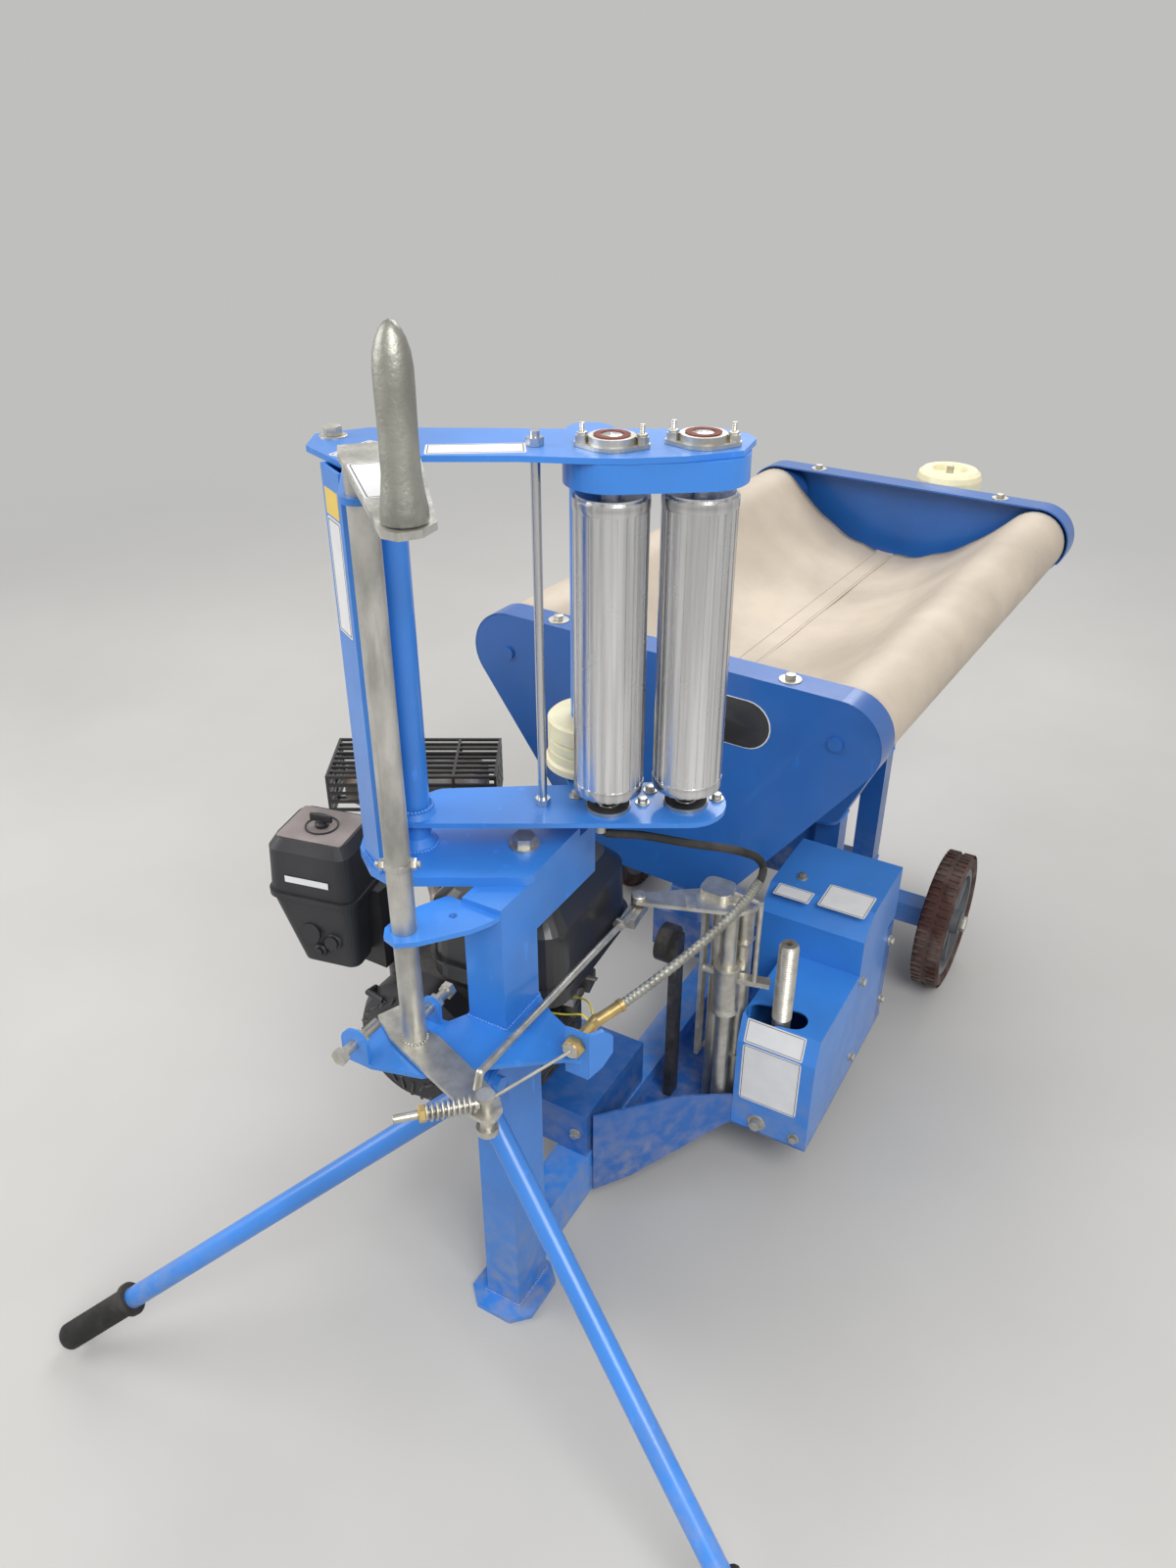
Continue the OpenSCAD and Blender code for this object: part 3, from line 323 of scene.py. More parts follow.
# Each finish: its base colour, its maker, its material's name and what else the maker takes
FINISHES = {
    "blue_paint": ((0.035, 0.2, 0.62), enamel, "gloss_blue_enamel", 0.8),
    # dark_blue_paint: the same blue enamel, darker for the painted shade on the table's end plates
    "dark_blue_paint": ((0.014, 0.1, 0.36), enamel, "dark_blue_enamel", 0.8),
    "zinc": ((0.62, 0.6, 0.54), plated, "zinc_plate", (0.42, 0.39, 0.32), 0.36),
    "ribbed_aluminium": ((0.82, 0.82, 0.83), drawn_metal, "fluted_aluminium"),
    "dark_steel": ((0.09, 0.085, 0.08), cast, "oiled_casting"),
    "black_plastic": ((0.022, 0.022, 0.025), moulded, "black_moulding"),
    "black_enamel": ((0.02, 0.02, 0.022), enamel, "black_enamel", 0.5),
    "exhaust_steel": ((0.24, 0.17, 0.12), hot_steel, "browned_exhaust"),
    "canvas": ((0.5, 0.43, 0.35), canvas, "coated_canvas"),
    "cream_nylon": ((0.84, 0.78, 0.52), nylon, "cream_nylon"),
    "tyre": ((0.05, 0.022, 0.018), rubber, "maroon_tyre", 0.35),
    "grey_plastic": ((0.1, 0.105, 0.115), moulded, "grey_wheel_core"),
    "black_rubber": ((0.018, 0.018, 0.018), rubber, "black_grip_rubber", 0.15),
    "pipe_zinc": ((0.58, 0.57, 0.53), galvanised, "hot_dip_zinc"),
    "grip_metal": ((0.36, 0.36, 0.32), galvanised, "grip_metal"),
    "label": ((0.74, 0.75, 0.76), paper, "blank_label", 0.0004),
    "label_band": ((0.78, 0.55, 0.08), paper, "yellow_label_band", 0.0004),
    "bright_steel": ((0.7, 0.7, 0.7), drawn_metal, "bright_steel"),
    "brass": ((0.72, 0.52, 0.22), plated, "brass_nut", (0.45, 0.33, 0.14), 0.3),
    "seal": ((0.16, 0.045, 0.035), rubber, "seal_rubber", 0.1),
    "thread": ((0.2, 0.17, 0.14), moulded, "stitch_thread"),
    "label_ink": ((0.05, 0.05, 0.06), paper, "label_rim", 0.0002),
    # The air cleaner's lid top: pale with a painted sky reflection and some dust
    "lid_reflection_and_dust": ((0.2, 0.17, 0.165), moulded, "dusty_lid", 300),
    "wire_red": ((0.5, 0.03, 0.02), moulded, "red_wire"),
    "wire_yellow": ((0.7, 0.55, 0.05), moulded, "yellow_wire"),
}
# Nodes whose finish isn't the plain one of their slot
NODE_FINISH = {
    "control_pipe": "pipe_zinc",
    "control_grip": "pipe_zinc",
    "tie_rod": "bright_steel",
    "starter_cover": "black_plastic",
    "conduit": "black_rubber",
    # The belt rollers take the end plates' darker blue, which is painted shade
    "belt_roller_left": "dark_blue_paint",
    "belt_roller_right": "dark_blue_paint",
}
made = {}


def finish(key):
    """The material of a finish, made when it is first asked for."""
    if key not in made:
        _, maker, name, *rest = FINISHES[key]
        made[key] = maker(name, tuple(getattr(bpy.context.scene.wrapper_colours, key)), *rest)
    return made[key]


class WrapperColours(bpy.types.PropertyGroup):
    """Colours of the finishes."""


WrapperColours.__annotations__ = {
    key: bpy.props.FloatVectorProperty(name=key.replace("_", " ").capitalize(), subtype="COLOR",
                                       description="Base colour of this finish", size=3, min=0, max=1,
                                       default=row[0])
    for key, row in FINISHES.items()
}


def sized(name, description, default, low, high, unit="LENGTH"):
    """A number setting of the scene with its limits."""
    return bpy.props.FloatProperty(name=name, description=description, default=default, min=low, max=high,
                                   unit=unit)


class WrapperSizes(bpy.types.PropertyGroup):
    """Sizes of the small fittings and the studio."""

    floor_half: sized("Floor half width", "Half the floor's side", 14.0, 4, 40)
    lamp_height: sized("Lamp height", "Height of the soft lamps", 3.4, 2, 8)
    key_power: sized("Key lamp", "Power of the main soft lamp in watts", 120.0, 0, 1000, "NONE")
    world_light: sized("World light", "Strength of the even light", 0.62, 0, 2, "NONE")
    bead_step: sized("Weld step", "Distance between ripples of a weld", 4 * MM, 2 * MM, 10 * MM)
    spring_wire: sized("Spring wire", "Thickness of the spring's wire", 3 * MM, 1 * MM, 5 * MM)
    spring_turns: bpy.props.IntProperty(name="Spring turns", description="Turns of the return spring",
                                        default=9, min=4, max=16)


def linked(name, data):
    """A new object of the scene."""
    obj = bpy.data.objects.new(name, data)
    bpy.context.scene.collection.objects.link(obj)
    return obj


def add_piece(name, mesh, body, key, replaces=(), smooth=35):
    """Links a mesh as a piece that rides on a body, with its finish."""
    mesh.materials.clear()
    mesh.materials.append(finish(key))
    obj = linked(name, mesh)
    mesh.shade_smooth()
    mesh.set_sharp_from_angle(angle=math.radians(smooth))
    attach(obj, body)
    if replaces:
        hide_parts(*replaces)
    return obj


def to_mesh(name, bm, clean=True):
    if clean:
        bmesh.ops.remove_doubles(bm, verts=bm.verts, dist=1e-6)
        bmesh.ops.recalc_face_normals(bm, faces=bm.faces)
    mesh = bpy.data.meshes.new(name)
    bm.to_mesh(mesh)
    bm.free()
    return mesh


def shaped(name, *shapes):
    """One mesh of several shapes, each given as a function and its arguments."""
    bm = bmesh.new()
    for make, *values in shapes:
        make(bm, *values)
    return to_mesh(name, bm)


def formed(name, key, *shapes, body="machine", replaces=(), smooth=35):
    """One piece, of the fixed machine if no other body is named, of several shapes given alike."""
    return add_piece(name, shaped(name, *shapes), body, key, replaces, smooth)


def facing(point, direction):
    """A placement at a point, in millimetres, whose Z axis looks along a direction."""
    turn = Vector(direction).to_track_quat("Z", "Y").to_matrix().to_4x4()
    return Matrix.Translation(mm(*point)) @ turn


def spread(start, end, steps):
    """Even steps from one number to another, both included."""
    return [start + (end - start) * k / steps for k in range(steps + 1)]


def arc(cx, cy, radius, start, sweep, steps):
    """Points along an arc given in degrees, both ends included."""
    turns = [math.radians(a) for a in spread(start, start + sweep, steps)]
    return [(cx + radius * math.cos(a), cy + radius * math.sin(a)) for a in turns]


def round_path(radius, steps=20):
    return arc(0, 0, radius, 0, 360, steps)[:-1]


def box_path(w, d, cx=0.0, cy=0.0):
    return [(cx + sx * w / 2, cy + sy * d / 2) for sx, sy in ((-1, -1), (1, -1), (1, 1), (-1, 1))]


def loop_of(outline, z, place=HERE):
    """A closed path round an outline at one height, in millimetres."""
    row = [Vector((x, y, z)) for x, y in outline]
    flat = Matrix(place)
    flat.translation = flat.translation / MM
    return [flat @ p for p in row + row[:1]]


def smooth_path(points, parts):
    """Points in millimetres joined by a smooth curve, in metres."""
    points = [Vector(p) for p in points]
    last = len(points) - 1
    path = []
    for i in range(last):
        a, b, c, d = points[max(i - 1, 0)], points[i], points[i + 1], points[min(i + 2, last)]
        for k in range(parts):
            t = k / parts
            path.append(0.5 * (2 * b + (c - a) * t + (2 * a - 5 * b + 4 * c - d) * t * t
                               + (3 * b - a - 3 * c + d) * t * t * t) * MM)
    return path + [points[-1] * MM]


def skin(bm, rings):
    """Joins closed rings of vertices, each to the next, and closes both ends."""
    count = len(rings[0])
    for near, far in zip(rings, rings[1:]):
        for k in range(count):
            n = (k + 1) % count
            bm.faces.new([near[k], near[n], far[n], far[k]])
    bm.faces.new(rings[0][::-1])
    bm.faces.new(rings[-1])


def lathe(bm, profile, place, steps=32):
    """Turns a closed profile of (radius, height) in millimetres about place's Z axis."""
    rings = []
    for k in range(steps):
        a = 2 * math.pi * k / steps
        rings.append([bm.verts.new(place @ mm(r * math.cos(a), r * math.sin(a), z)) for r, z in profile])
    for k in range(steps):
        near, far = rings[k], rings[(k + 1) % steps]
        for i in range(len(profile) - 1):
            corners = [near[i], far[i], far[i + 1], near[i + 1]]
            if profile[i][0] < 1e-6:
                corners = [near[i], far[i + 1], near[i + 1]]
            elif profile[i + 1][0] < 1e-6:
                corners = [near[i], far[i], near[i + 1]]
            bm.faces.new(corners)


def slab(bm, outline, low, high, place, bevel=0.0):
    """A plate of a given outline between two heights, in millimetres."""
    under = [bm.verts.new(place @ mm(x, y, low)) for x, y in outline]
    over = [bm.verts.new(place @ mm(x, y, high)) for x, y in outline]
    faces = [bm.faces.new(under[::-1]), bm.faces.new(over)]
    for i in range(len(outline)):
        j = (i + 1) % len(outline)
        faces.append(bm.faces.new([under[i], under[j], over[j], over[i]]))
    if bevel:
        edges = {e for face in faces[:2] for e in face.edges}
        bmesh.ops.bevel(bm, geom=list(edges), offset=bevel * MM, segments=2, affect="EDGES", profile=0.5)


def tube(bm, points, radius, sides=10, side=None, ridge=0.0):
    """A round tube along points in metres; every other ring is lower by the ridge, in millimetres."""
    rings = []
    for i, p in enumerate(points):
        ahead = (points[min(i + 1, len(points) - 1)] - points[max(i - 1, 0)]).normalized()
        if side is None:
            side = ahead.orthogonal().normalized()
        side = (side - ahead * side.dot(ahead)).normalized()
        up = ahead.cross(side)
        r = (radius if i % 2 else radius - ridge) * MM
        rings.append([bm.verts.new(p + r * (side * math.cos(a) + up * math.sin(a)))
                      for a in (2 * math.pi * k / sides for k in range(sides))])
    skin(bm, rings)


def hex_bolt(across, tall, washer=0.0, stud=0.0):
    """A hexagon bolt head or nut on its washer, with the rod's end standing through it."""
    base = 1.4 if washer else 0.0
    shapes = []
    if washer:
        r = washer / 2
        shapes.append((lathe, [(0, 0), (r, 0), (r, base - 0.3), (r - 0.4, base), (0, base)], HERE, 24))
    shapes.append((slab, round_path(across / math.sqrt(3), 6), base, base + tall, HERE, 0.6))
    if stud:
        r, foot, pitch = across * 0.3, base + tall - 0.5, 0.75
        ridges = [(r - 0.4 * (k % 2), foot + pitch * k) for k in range(int(stud / pitch) + 1)]
        shapes.append((lathe, [(0, foot)] + ridges + [(0, ridges[-1][1] + 0.4)], HERE, 12))
    return shaped("hex_bolt", *shapes)


def label_plate(bm, place, w, h, t):
    """A thin plate with rounded corners, centred on a placement."""
    r = min(w, h) * 0.06
    x, y = w / 2 - r, h / 2 - r
    outline = []
    for cx, cy, start in ((x, y, 0), (-x, y, 90), (-x, -y, 180), (x, -y, 270)):
        outline += arc(cx, cy, r, start, 90, 3)
    slab(bm, outline, 0, t, place)


def label_rim(bm, place, w, h, t, width=0.9, inset=2.5):
    """A thin printed frame near the edge of a label."""
    x, y = w / 2 - inset, h / 2 - inset
    for s in (1, -1):
        slab(bm, box_path(2 * x, width, 0, s * y), 0, t, place)
    for s in (1, -1):
        slab(bm, box_path(width, 2 * y, s * x, 0), 0, t, place)


def fade_to(mat, colour, near, far):
    """Fades a floor into the plain backdrop between two distances from its middle."""
    tree = mat.node_tree
    place = new_node(tree, "ShaderNodeTexCoord")
    length = new_node(tree, "ShaderNodeVectorMath", {0: place.outputs["Object"]}, operation="LENGTH")
    share = new_node(tree, "ShaderNodeMapRange", {"Value": length.outputs["Value"]},
                     {"From Min": near, "From Max": far}, interpolation_type="SMOOTHSTEP")
    glow = new_node(tree, "ShaderNodeEmission", values={"Color": (*colour, 1)})
    surface = tree.nodes["Material Output"].inputs["Surface"]
    mix = new_node(tree, "ShaderNodeMixShader", {
        "Fac": share.outputs["Result"], 1: surface.links[0].from_socket, 2: glow.outputs[0]})
    tree.links.new(mix.outputs[0], surface)


class WRAPPER_OT_stage(bpy.types.Operator):
    """Floor, soft light and the camera"""

    bl_idname = "wrapper.stage"
    bl_label = "Stage"

    def execute(self, context):
        scene, sizes = context.scene, context.scene.wrapper_sizes
        bm = bmesh.new()
        bmesh.ops.create_grid(bm, x_segments=1, y_segments=1, size=sizes.floor_half)
        floor = linked("floor", to_mesh("floor", bm, clean=False))
        f = Finish("pale_floor", roughness=0.7, specular=0.25)
        f.colour(f.ramp(f.noise(1.2, 5), (0.43, 0.425, 0.415), (0.47, 0.465, 0.455)))
        fade_to(f.coat((3, 4, 0.6, 0.8), (60, 4, 0.06, 0.001)), BACKDROP, 1.9, 4.6)
        floor.data.materials.append(f.mat)
        scene.world = scene.world or bpy.data.worlds.new("studio")
        scene.world.use_nodes = True
        tree = scene.world.node_tree
        light = tree.nodes["Background"]
        light.inputs["Color"].default_value = (1, 0.985, 0.96, 1)
        light.inputs["Strength"].default_value = sizes.world_light
        seen = new_node(tree, "ShaderNodeBackground", values={"Color": (*BACKDROP, 1)})
        path = new_node(tree, "ShaderNodeLightPath")
        pick = new_node(tree, "ShaderNodeMixShader", {
            "Fac": path.outputs["Is Camera Ray"], 1: light.outputs[0], 2: seen.outputs[0]})
        tree.links.new(pick.outputs[0], tree.nodes["World Output"].inputs["Surface"])
        for name, (x, y, rise), size, share in LAMPS:
            data = bpy.data.lights.new(name, "AREA")
            data.shape = "DISK"
            data.size = size
            data.energy = sizes.key_power * share
            lamp = linked(name, data)
            lamp.location = (x, y, sizes.lamp_height * rise)
            aim = Vector(LAMP_AIM) - lamp.location
            lamp.rotation_euler = aim.to_track_quat("-Z", "Y").to_euler()
        camera = bpy.data.cameras.new("camera")
        camera.lens = 27
        camera.sensor_width = 36
        camera.sensor_fit = "AUTO"
        shot = linked("camera", camera)
        shot.location = CAMERA_AT
        shot.rotation_euler = (math.radians(CAMERA_TILT), 0, math.radians(HEAD_TURN))
        scene.camera = shot
        scene.view_settings.view_transform = "Standard"
        return {"FINISHED"}


class WRAPPER_OT_node_finishes(bpy.types.Operator):
    """Finishes of the pieces that keep their own shape"""

    bl_idname = "wrapper.node_finishes"
    bl_label = "Finishes"

    def execute(self, context):
        slot_of = {row["node"]: row["material_slot"] for row in frame["record"]["subparts"]}
        for name, obj in NODES.items():
            obj.data.materials.clear()
            obj.data.materials.append(finish(NODE_FINISH.get(name, slot_of[name])))
        return {"FINISHED"}


class Tree:
    """A geometry node tree with named inputs that ends in Realize Instances and Set Material."""

    def __init__(self, name, inputs):
        self.tree = bpy.data.node_groups.new(name, "GeometryNodeTree")
        for label, kind in (("Geometry", "Geometry"), *inputs, ("Material", "Material")):
            self.tree.interface.new_socket(label, in_out="INPUT", socket_type=f"NodeSocket{kind}")
        self.tree.interface.new_socket("Geometry", in_out="OUTPUT", socket_type="NodeSocketGeometry")
        self.start = self.add("NodeGroupInput")

    def add(self, kind, links=None, values=None, **settings):
        return new_node(self.tree, kind, links, values, **settings).outputs

    def close(self, geometry):
        real = self.add("GeometryNodeRealizeInstances", {0: geometry})
        painted = self.add("GeometryNodeSetMaterial", {0: real[0], "Material": self.start["Material"]})
        self.add("NodeGroupOutput", {0: painted[0]})
        return self.tree


def copies_tree():
    """Copies of one small piece, set out on points that carry a turn."""
    t = Tree("copies", [("Copied piece", "Object"), ("Scale", "Float")])
    piece = t.add("GeometryNodeObjectInfo", {"Object": t.start["Copied piece"]})
    turn = t.add("GeometryNodeInputNamedAttribute", values={"Name": "turn"}, data_type="FLOAT_VECTOR")
    spin = t.add("FunctionNodeEulerToRotation", {0: turn[0]})
    placed = t.add("GeometryNodeInstanceOnPoints", {
        "Points": t.start["Geometry"], "Instance": piece["Geometry"], "Rotation": spin[0],
        "Scale": t.start["Scale"]})
    return t.close(placed[0])


def weld_tree():
    """A weld's ripples: flattened beads at even steps along edges."""
    t = Tree("weld", [("Step", "Float"), ("Bead radius", "Float")])
    curve = t.add("GeometryNodeMeshToCurve", {0: t.start["Geometry"]})
    points = t.add("GeometryNodeCurveToPoints", {0: curve[0], "Length": t.start["Step"]}, mode="LENGTH")
    bead = t.add("GeometryNodeMeshIcoSphere", {"Radius": t.start["Bead radius"]}, {"Subdivisions": 2})
    size = t.add("FunctionNodeRandomValue", values={0: (0.75, 0.9, 0.9), 1: (0.95, 1.15, 1.1), "Seed": 7},
                 data_type="FLOAT_VECTOR")
    placed = t.add("GeometryNodeInstanceOnPoints", {
        "Points": points[0], "Instance": bead[0], "Rotation": points["Rotation"], "Scale": size[0]})
    return t.close(placed[0])


def coil_tree():
    """A coil of round wire about the Z axis."""
    t = Tree("coil", [(label, "Float") for label in ("Turns", "Height", "Radius", "Wire radius")])
    spiral = t.add("GeometryNodeCurveSpiral", {
        "Rotations": t.start["Turns"], "Start Radius": t.start["Radius"], "End Radius": t.start["Radius"],
        "Height": t.start["Height"]}, {"Resolution": 24})
    ring = t.add("GeometryNodeCurvePrimitiveCircle", {"Radius": t.start["Wire radius"]}, {"Resolution": 8})
    wire = t.add("GeometryNodeCurveToMesh", {0: spiral[0], 1: ring[0]}, {"Fill Caps": True})
    return t.close(wire[0])


def tree_of(build):
    """The tree a function builds, built when it is first asked for."""
    name = build.__name__
    if name not in made:
        made[name] = build()
    return made[name]


def grown(mesh, tree, inputs, key):
    """Runs a tree once over a mesh and gives its result as a plain mesh."""
    holder = linked("holder", mesh)
    modifier = holder.modifiers.new("grow", "NODES")
    modifier.node_group = tree
    values = {**inputs, "Material": finish(key)}
    for item in tree.interface.items_tree:
        if item.item_type == "SOCKET" and item.in_out == "INPUT" and item.name in values:
            modifier[item.identifier] = values[item.name]
    graph = bpy.context.evaluated_depsgraph_get()
    result = bpy.data.meshes.new_from_object(holder.evaluated_get(graph), depsgraph=graph)
    bpy.data.objects.remove(holder)
    if not result.polygons:
        raise RuntimeError(f"the {tree.name} tree made nothing")
    return result


def copies(name, proto, places, body, key, replaces=(), smooth=35):
    """One piece of many copies of a small mesh, set out at placements."""
    points = bpy.data.meshes.new("points")
    points.from_pydata([m.translation for m in places], [], [])
    turns = points.attributes.new("turn", "FLOAT_VECTOR", "POINT")
    turns.data.foreach_set("vector", [angle for m in places for angle in m.to_euler()])
    source = linked("source", proto)
    mesh = grown(points, tree_of(copies_tree), {"Copied piece": source, "Scale": 1.0}, key)
    bpy.data.objects.remove(source)
    return add_piece(name, mesh, body, key, replaces, smooth)


def weld(name, paths, body, key, radius=2.6):
    """Weld beads along paths of points in millimetres."""
    bm = bmesh.new()
    for path in paths:
        verts = [bm.verts.new(p * MM) for p in path]
        for a, b in zip(verts, verts[1:]):
            bm.edges.new((a, b))
    step = bpy.context.scene.wrapper_sizes.bead_step
    mesh = grown(to_mesh("path", bm, clean=False), tree_of(weld_tree),
                 {"Step": step, "Bead radius": radius * MM}, key)
    return add_piece(name, mesh, body, key, smooth=60)


def belt_outline(reach):
    """The belt's loop at a distance from the rollers' axes, in millimetres about the rollers' height."""
    side = arc(ROLLER_X, 0, reach, HANG - 90, 180 + WRAP - HANG, 18)
    (v, foot), (w, top) = side[0], side[-1]
    u, s = v * math.tan(math.radians(HANG)) / 2, w * math.tan(math.radians(WRAP)) / 2
    up = [(w * t, top - s + s * t ** 2) for t in (1 - k / 20 for k in range(1, 40))]
    down = [(v * t, foot - u + u * t ** 2) for t in (k / 12 - 1 for k in range(1, 24))]
    return side + up + [(-x, y) for x, y in reversed(side)] + down


def cloth_point(x, y, z):
    """A point of the belt, a little wavy where it hangs between the rollers, in metres."""
    slack = max(0.0, 1 - (x / 215) ** 2) if z < 20 else 0.0
    edge = (abs(y) / BELT_HALF) ** 6
    ripple = math.sin(x * 0.055 + y * 0.011) * math.sin(y * 0.019 + 1.3)
    lift = slack * (1.6 * ripple + 2.2 * edge * math.sin(x * 0.09 + 0.6))
    return ON_TABLE @ mm(x, y, ROLLER_Z + z + lift)


def trough_point(x, y, lift=0.0):
    """A point on the belt's upper face between the rollers, in metres."""
    reach = ROLLER_R + 3.3
    top = math.radians(90 + WRAP)
    w = ROLLER_X + reach * math.cos(top)
    s = w * math.tan(math.radians(WRAP)) / 2
    return ON_TABLE @ mm(x, y, ROLLER_Z + reach * math.sin(top) - s + s * (x / w) ** 2 + lift)


def lap_seam(bm, steps=40):
    """The lapped strip across the belt, open inside and closed round its edge."""
    rows = spread(2 - BELT_HALF, BELT_HALF - 2, steps)
    for a, (ya, yb) in enumerate(zip(rows, rows[1:])):
        for x0, x1, edge in ((LAP_FROM, LAP_RIDGE, 3), (LAP_RIDGE, LAP_TO, 1)):
            corners = ((x0, ya), (x1, ya), (x1, yb), (x0, yb))
            low = [bm.verts.new(trough_point(x, y, -0.6)) for x, y in corners]
            top = [bm.verts.new(trough_point(x, y, 1.5)) for x, y in corners]
            bm.faces.new(top)
            bm.faces.new(low[::-1])
            for i in [edge] + [0] * (a == 0) + [2] * (a == steps - 1):
                j = (i + 1) % 4
                bm.faces.new([low[i], low[j], top[j], top[i]])


class WRAPPER_OT_belt(bpy.types.Operator):
    """Canvas belt with its lapped seam and stitched edges"""

    bl_idname = "wrapper.belt"
    bl_label = "Belt"

    def execute(self, context):
        half, rows = BELT_HALF, 56
        outline = belt_outline(ROLLER_R + 0.3 + 1.6)
        n = len(outline)
        bm = bmesh.new()
        layer = bm.loops.layers.uv.new("cloth")
        grid = [[bm.verts.new(cloth_point(x, y, z)) for x, z in outline] for y in spread(-half, half, rows)]
        for j in range(rows):
            for i in range(n):
                k = (i + 1) % n
                face = bm.faces.new([grid[j][i], grid[j + 1][i], grid[j + 1][k], grid[j][k]])
                for loop, (u, v) in zip(face.loops, ((i, j), (i, j + 1), (i + 1, j + 1), (i + 1, j))):
                    loop[layer].uv = (u / n, v / rows)
        bmesh.ops.recalc_face_normals(bm, faces=bm.faces)
        cloth = to_mesh("belt", bm, clean=False)
        belt = add_piece("belt", cloth, "table", "canvas", ["table_belt"], smooth=60)
        thick = belt.modifiers.new("skin", "SOLIDIFY")
        thick.thickness = 2.2 * MM
        thick.offset = 0
        lap = formed("belt_lap", "canvas", (lap_seam,), body="table", smooth=40)
        turn = put(0, 0, 0, TABLE_TURN)
        places = [Matrix.Translation(trough_point(x, 6 - half + 7 * k, 1.3)) @ turn
                  for x in (LAP_FROM + 3, LAP_TO - 4) for k in range(121)]
        for s in (-1, 1):
            for x in range(-195, 201, 6):
                slope = math.atan(2 * TROUGH_DEPTH * x / TROUGH_HALF ** 2)
                tilt = Matrix.Rotation(-slope, 4, "Y") @ put(0, 0, 0, 90)
                places.append(Matrix.Translation(trough_point(x, s * (half - 14), 0.2)) @ turn @ tilt)
        stitch = shaped("stitch", (slab, box_path(0.9, 4.2), 0, 0.8, HERE, 0.2))
        thread = copies("belt_stitches", stitch, places, "table", "thread")
        return {"FINISHED"}


def end_lip(bm, s, e):
    """The curved lip of an end plate over one belt roller."""
    outer, inner = e * END_Y, e * (END_Y - FLANGE_W)
    edges = [(arc(ROLLER_X, ROLLER_Z, r, 92, -130, 16), y)
             for r, y in ((60.0, outer), (60.0, inner), (57.4, inner), (57.4, outer))]
    skin(bm, [[bm.verts.new(ON_TABLE @ mm(s * points[k][0], y, points[k][1])) for points, y in edges]
              for k in range(17)])


class WRAPPER_OT_table_trim(bpy.types.Operator):
    """Curved lips, flange bolts, welds and the blank plate of the end plates"""

    bl_idname = "wrapper.table_trim"
    bl_label = "Table trim"

    def execute(self, context):
        corners = [(s, e) for s in (-1, 1) for e in (-1, 1)]
        lips = [(end_lip, s, e) for s, e in corners]
        # The lips take the end plates' darker blue, which is painted shade
        formed("end_lips", "dark_blue_paint", *lips, body="table", smooth=50)
        places = [ON_TABLE @ put(x, e * (END_Y - 22), TABLE_Z) for x in (-180, 177) for e in (-1, 1)]
        copies("flange_bolts", hex_bolt(13, 7, washer=30), places, "table", "zinc")
        face = ON_TABLE @ facing((88, -END_Y, 702), FRONT)
        oval = arc(42, 0, 34, -90, 180, 12) + arc(-42, 0, 34, 90, 180, 12)
        formed("blank_plate", "black_enamel", (slab, oval, 0, 0.8, face, 0.2), body="table")
        rim = [(x * 1.02, y * 1.03) for x, y in oval]
        formed("plate_rim", "label", (slab, rim, 0, 0.35, face), body="table")
        folds = [[ON_TABLE @ mm(s * 106, e * y, TABLE_BOTTOM + 60) / MM for y in (474, 300)]
                 for s, e in corners]
        weld("table_welds", folds, "table", "dark_blue_paint", 2.0)
        return {"FINISHED"}


class WRAPPER_OT_fasteners(bpy.types.Operator):
    """Bolts, nuts and studs on the fixed frame"""

    bl_idname = "wrapper.fasteners"
    bl_label = "Bolts and nuts"

    def execute(self, context):
        small = [IN_HEAD @ facing((x, y, ARM_Z), UP)
                 for x, y in ((88, 113), (163, 98), (173, 125), (248, 107))]
        small += [facing((156, 585, 383), UP)]
        small += [facing((281, y, z), RIGHT) for y, z in ((532, 270), (532, 120), (676, 250), (676, 130))]
        small += [facing((262, 345, 104), FRONT)]
        small += [facing((x, 158, 150), FRONT) for x in (-262, -150, 5)]
        copies("small_bolts", hex_bolt(10, 6, washer=17), small, "machine", "zinc")
        large = [IN_HEAD @ facing((-150, 131, ARM_TOP), UP), facing((204, 345, 106), FRONT)]
        copies("large_bolts", hex_bolt(16, 9, washer=28), large, "machine", "zinc")
        studs = [IN_HEAD @ facing((x, y, ARM_TOP + 10.2), UP)
                 for cx, cy in (FILM_A, FILM_B) for x, y in arc(cx, cy, 29, 172, 180, 1)]
        copies("bearing_studs", hex_bolt(9, 3.5, stud=9), studs, "machine", "zinc")
        across = IN_HEAD.to_3x3() @ Vector(RIGHT)
        clamp = [facing(Vector((*PIPE_AT, 742)) + across * s * 13.2, across * s) for s in (-1, 1)]
        copies("pipe_bolts", hex_bolt(11, 6, stud=5), clamp, "machine", "zinc")
        copies("cable_nut", hex_bolt(22, 10), [facing((117, -26.8, 521), FRONT)], "machine", "brass")
        return {"FINISHED"}


class WRAPPER_OT_welds(bpy.types.Operator):
    """Weld beads where tubes meet plates"""

    bl_idname = "wrapper.welds"
    bl_label = "Welds"

    def execute(self, context):
        post = box_path(52, 72, 0, 8)
        tube_foot = IN_HEAD @ put(*TUBE_AT)
        paths = [loop_of(post, z) for z in (8, MID_Z, 494)]
        paths.append(loop_of(box_path(31, 48, 15, 23.5), HEAD_Z, COLUMN))
        paths += [loop_of(round_path(23), HEAD_Z, tube_foot), loop_of(round_path(20), ARM_Z + 9, tube_foot)]
        paths.append([Vector(p) for p in ((-26, 44, 36), (-26, 44, 113), (26, 44, 113), (26, 44, 36))])
        paths += [loop_of(box_path(41, 41, x, y), z)
                  for x in (-130, 130) for y in (795, 1045) for z in (140, 378)]
        weld("frame_welds", paths, "machine", "blue_paint")
        pipe = [loop_of(round_path(14), z, put(*PIPE_AT)) for z in (509, 1152)]
        weld("pipe_welds", pipe, "machine", "pipe_zinc", 1.8)
        return {"FINISHED"}


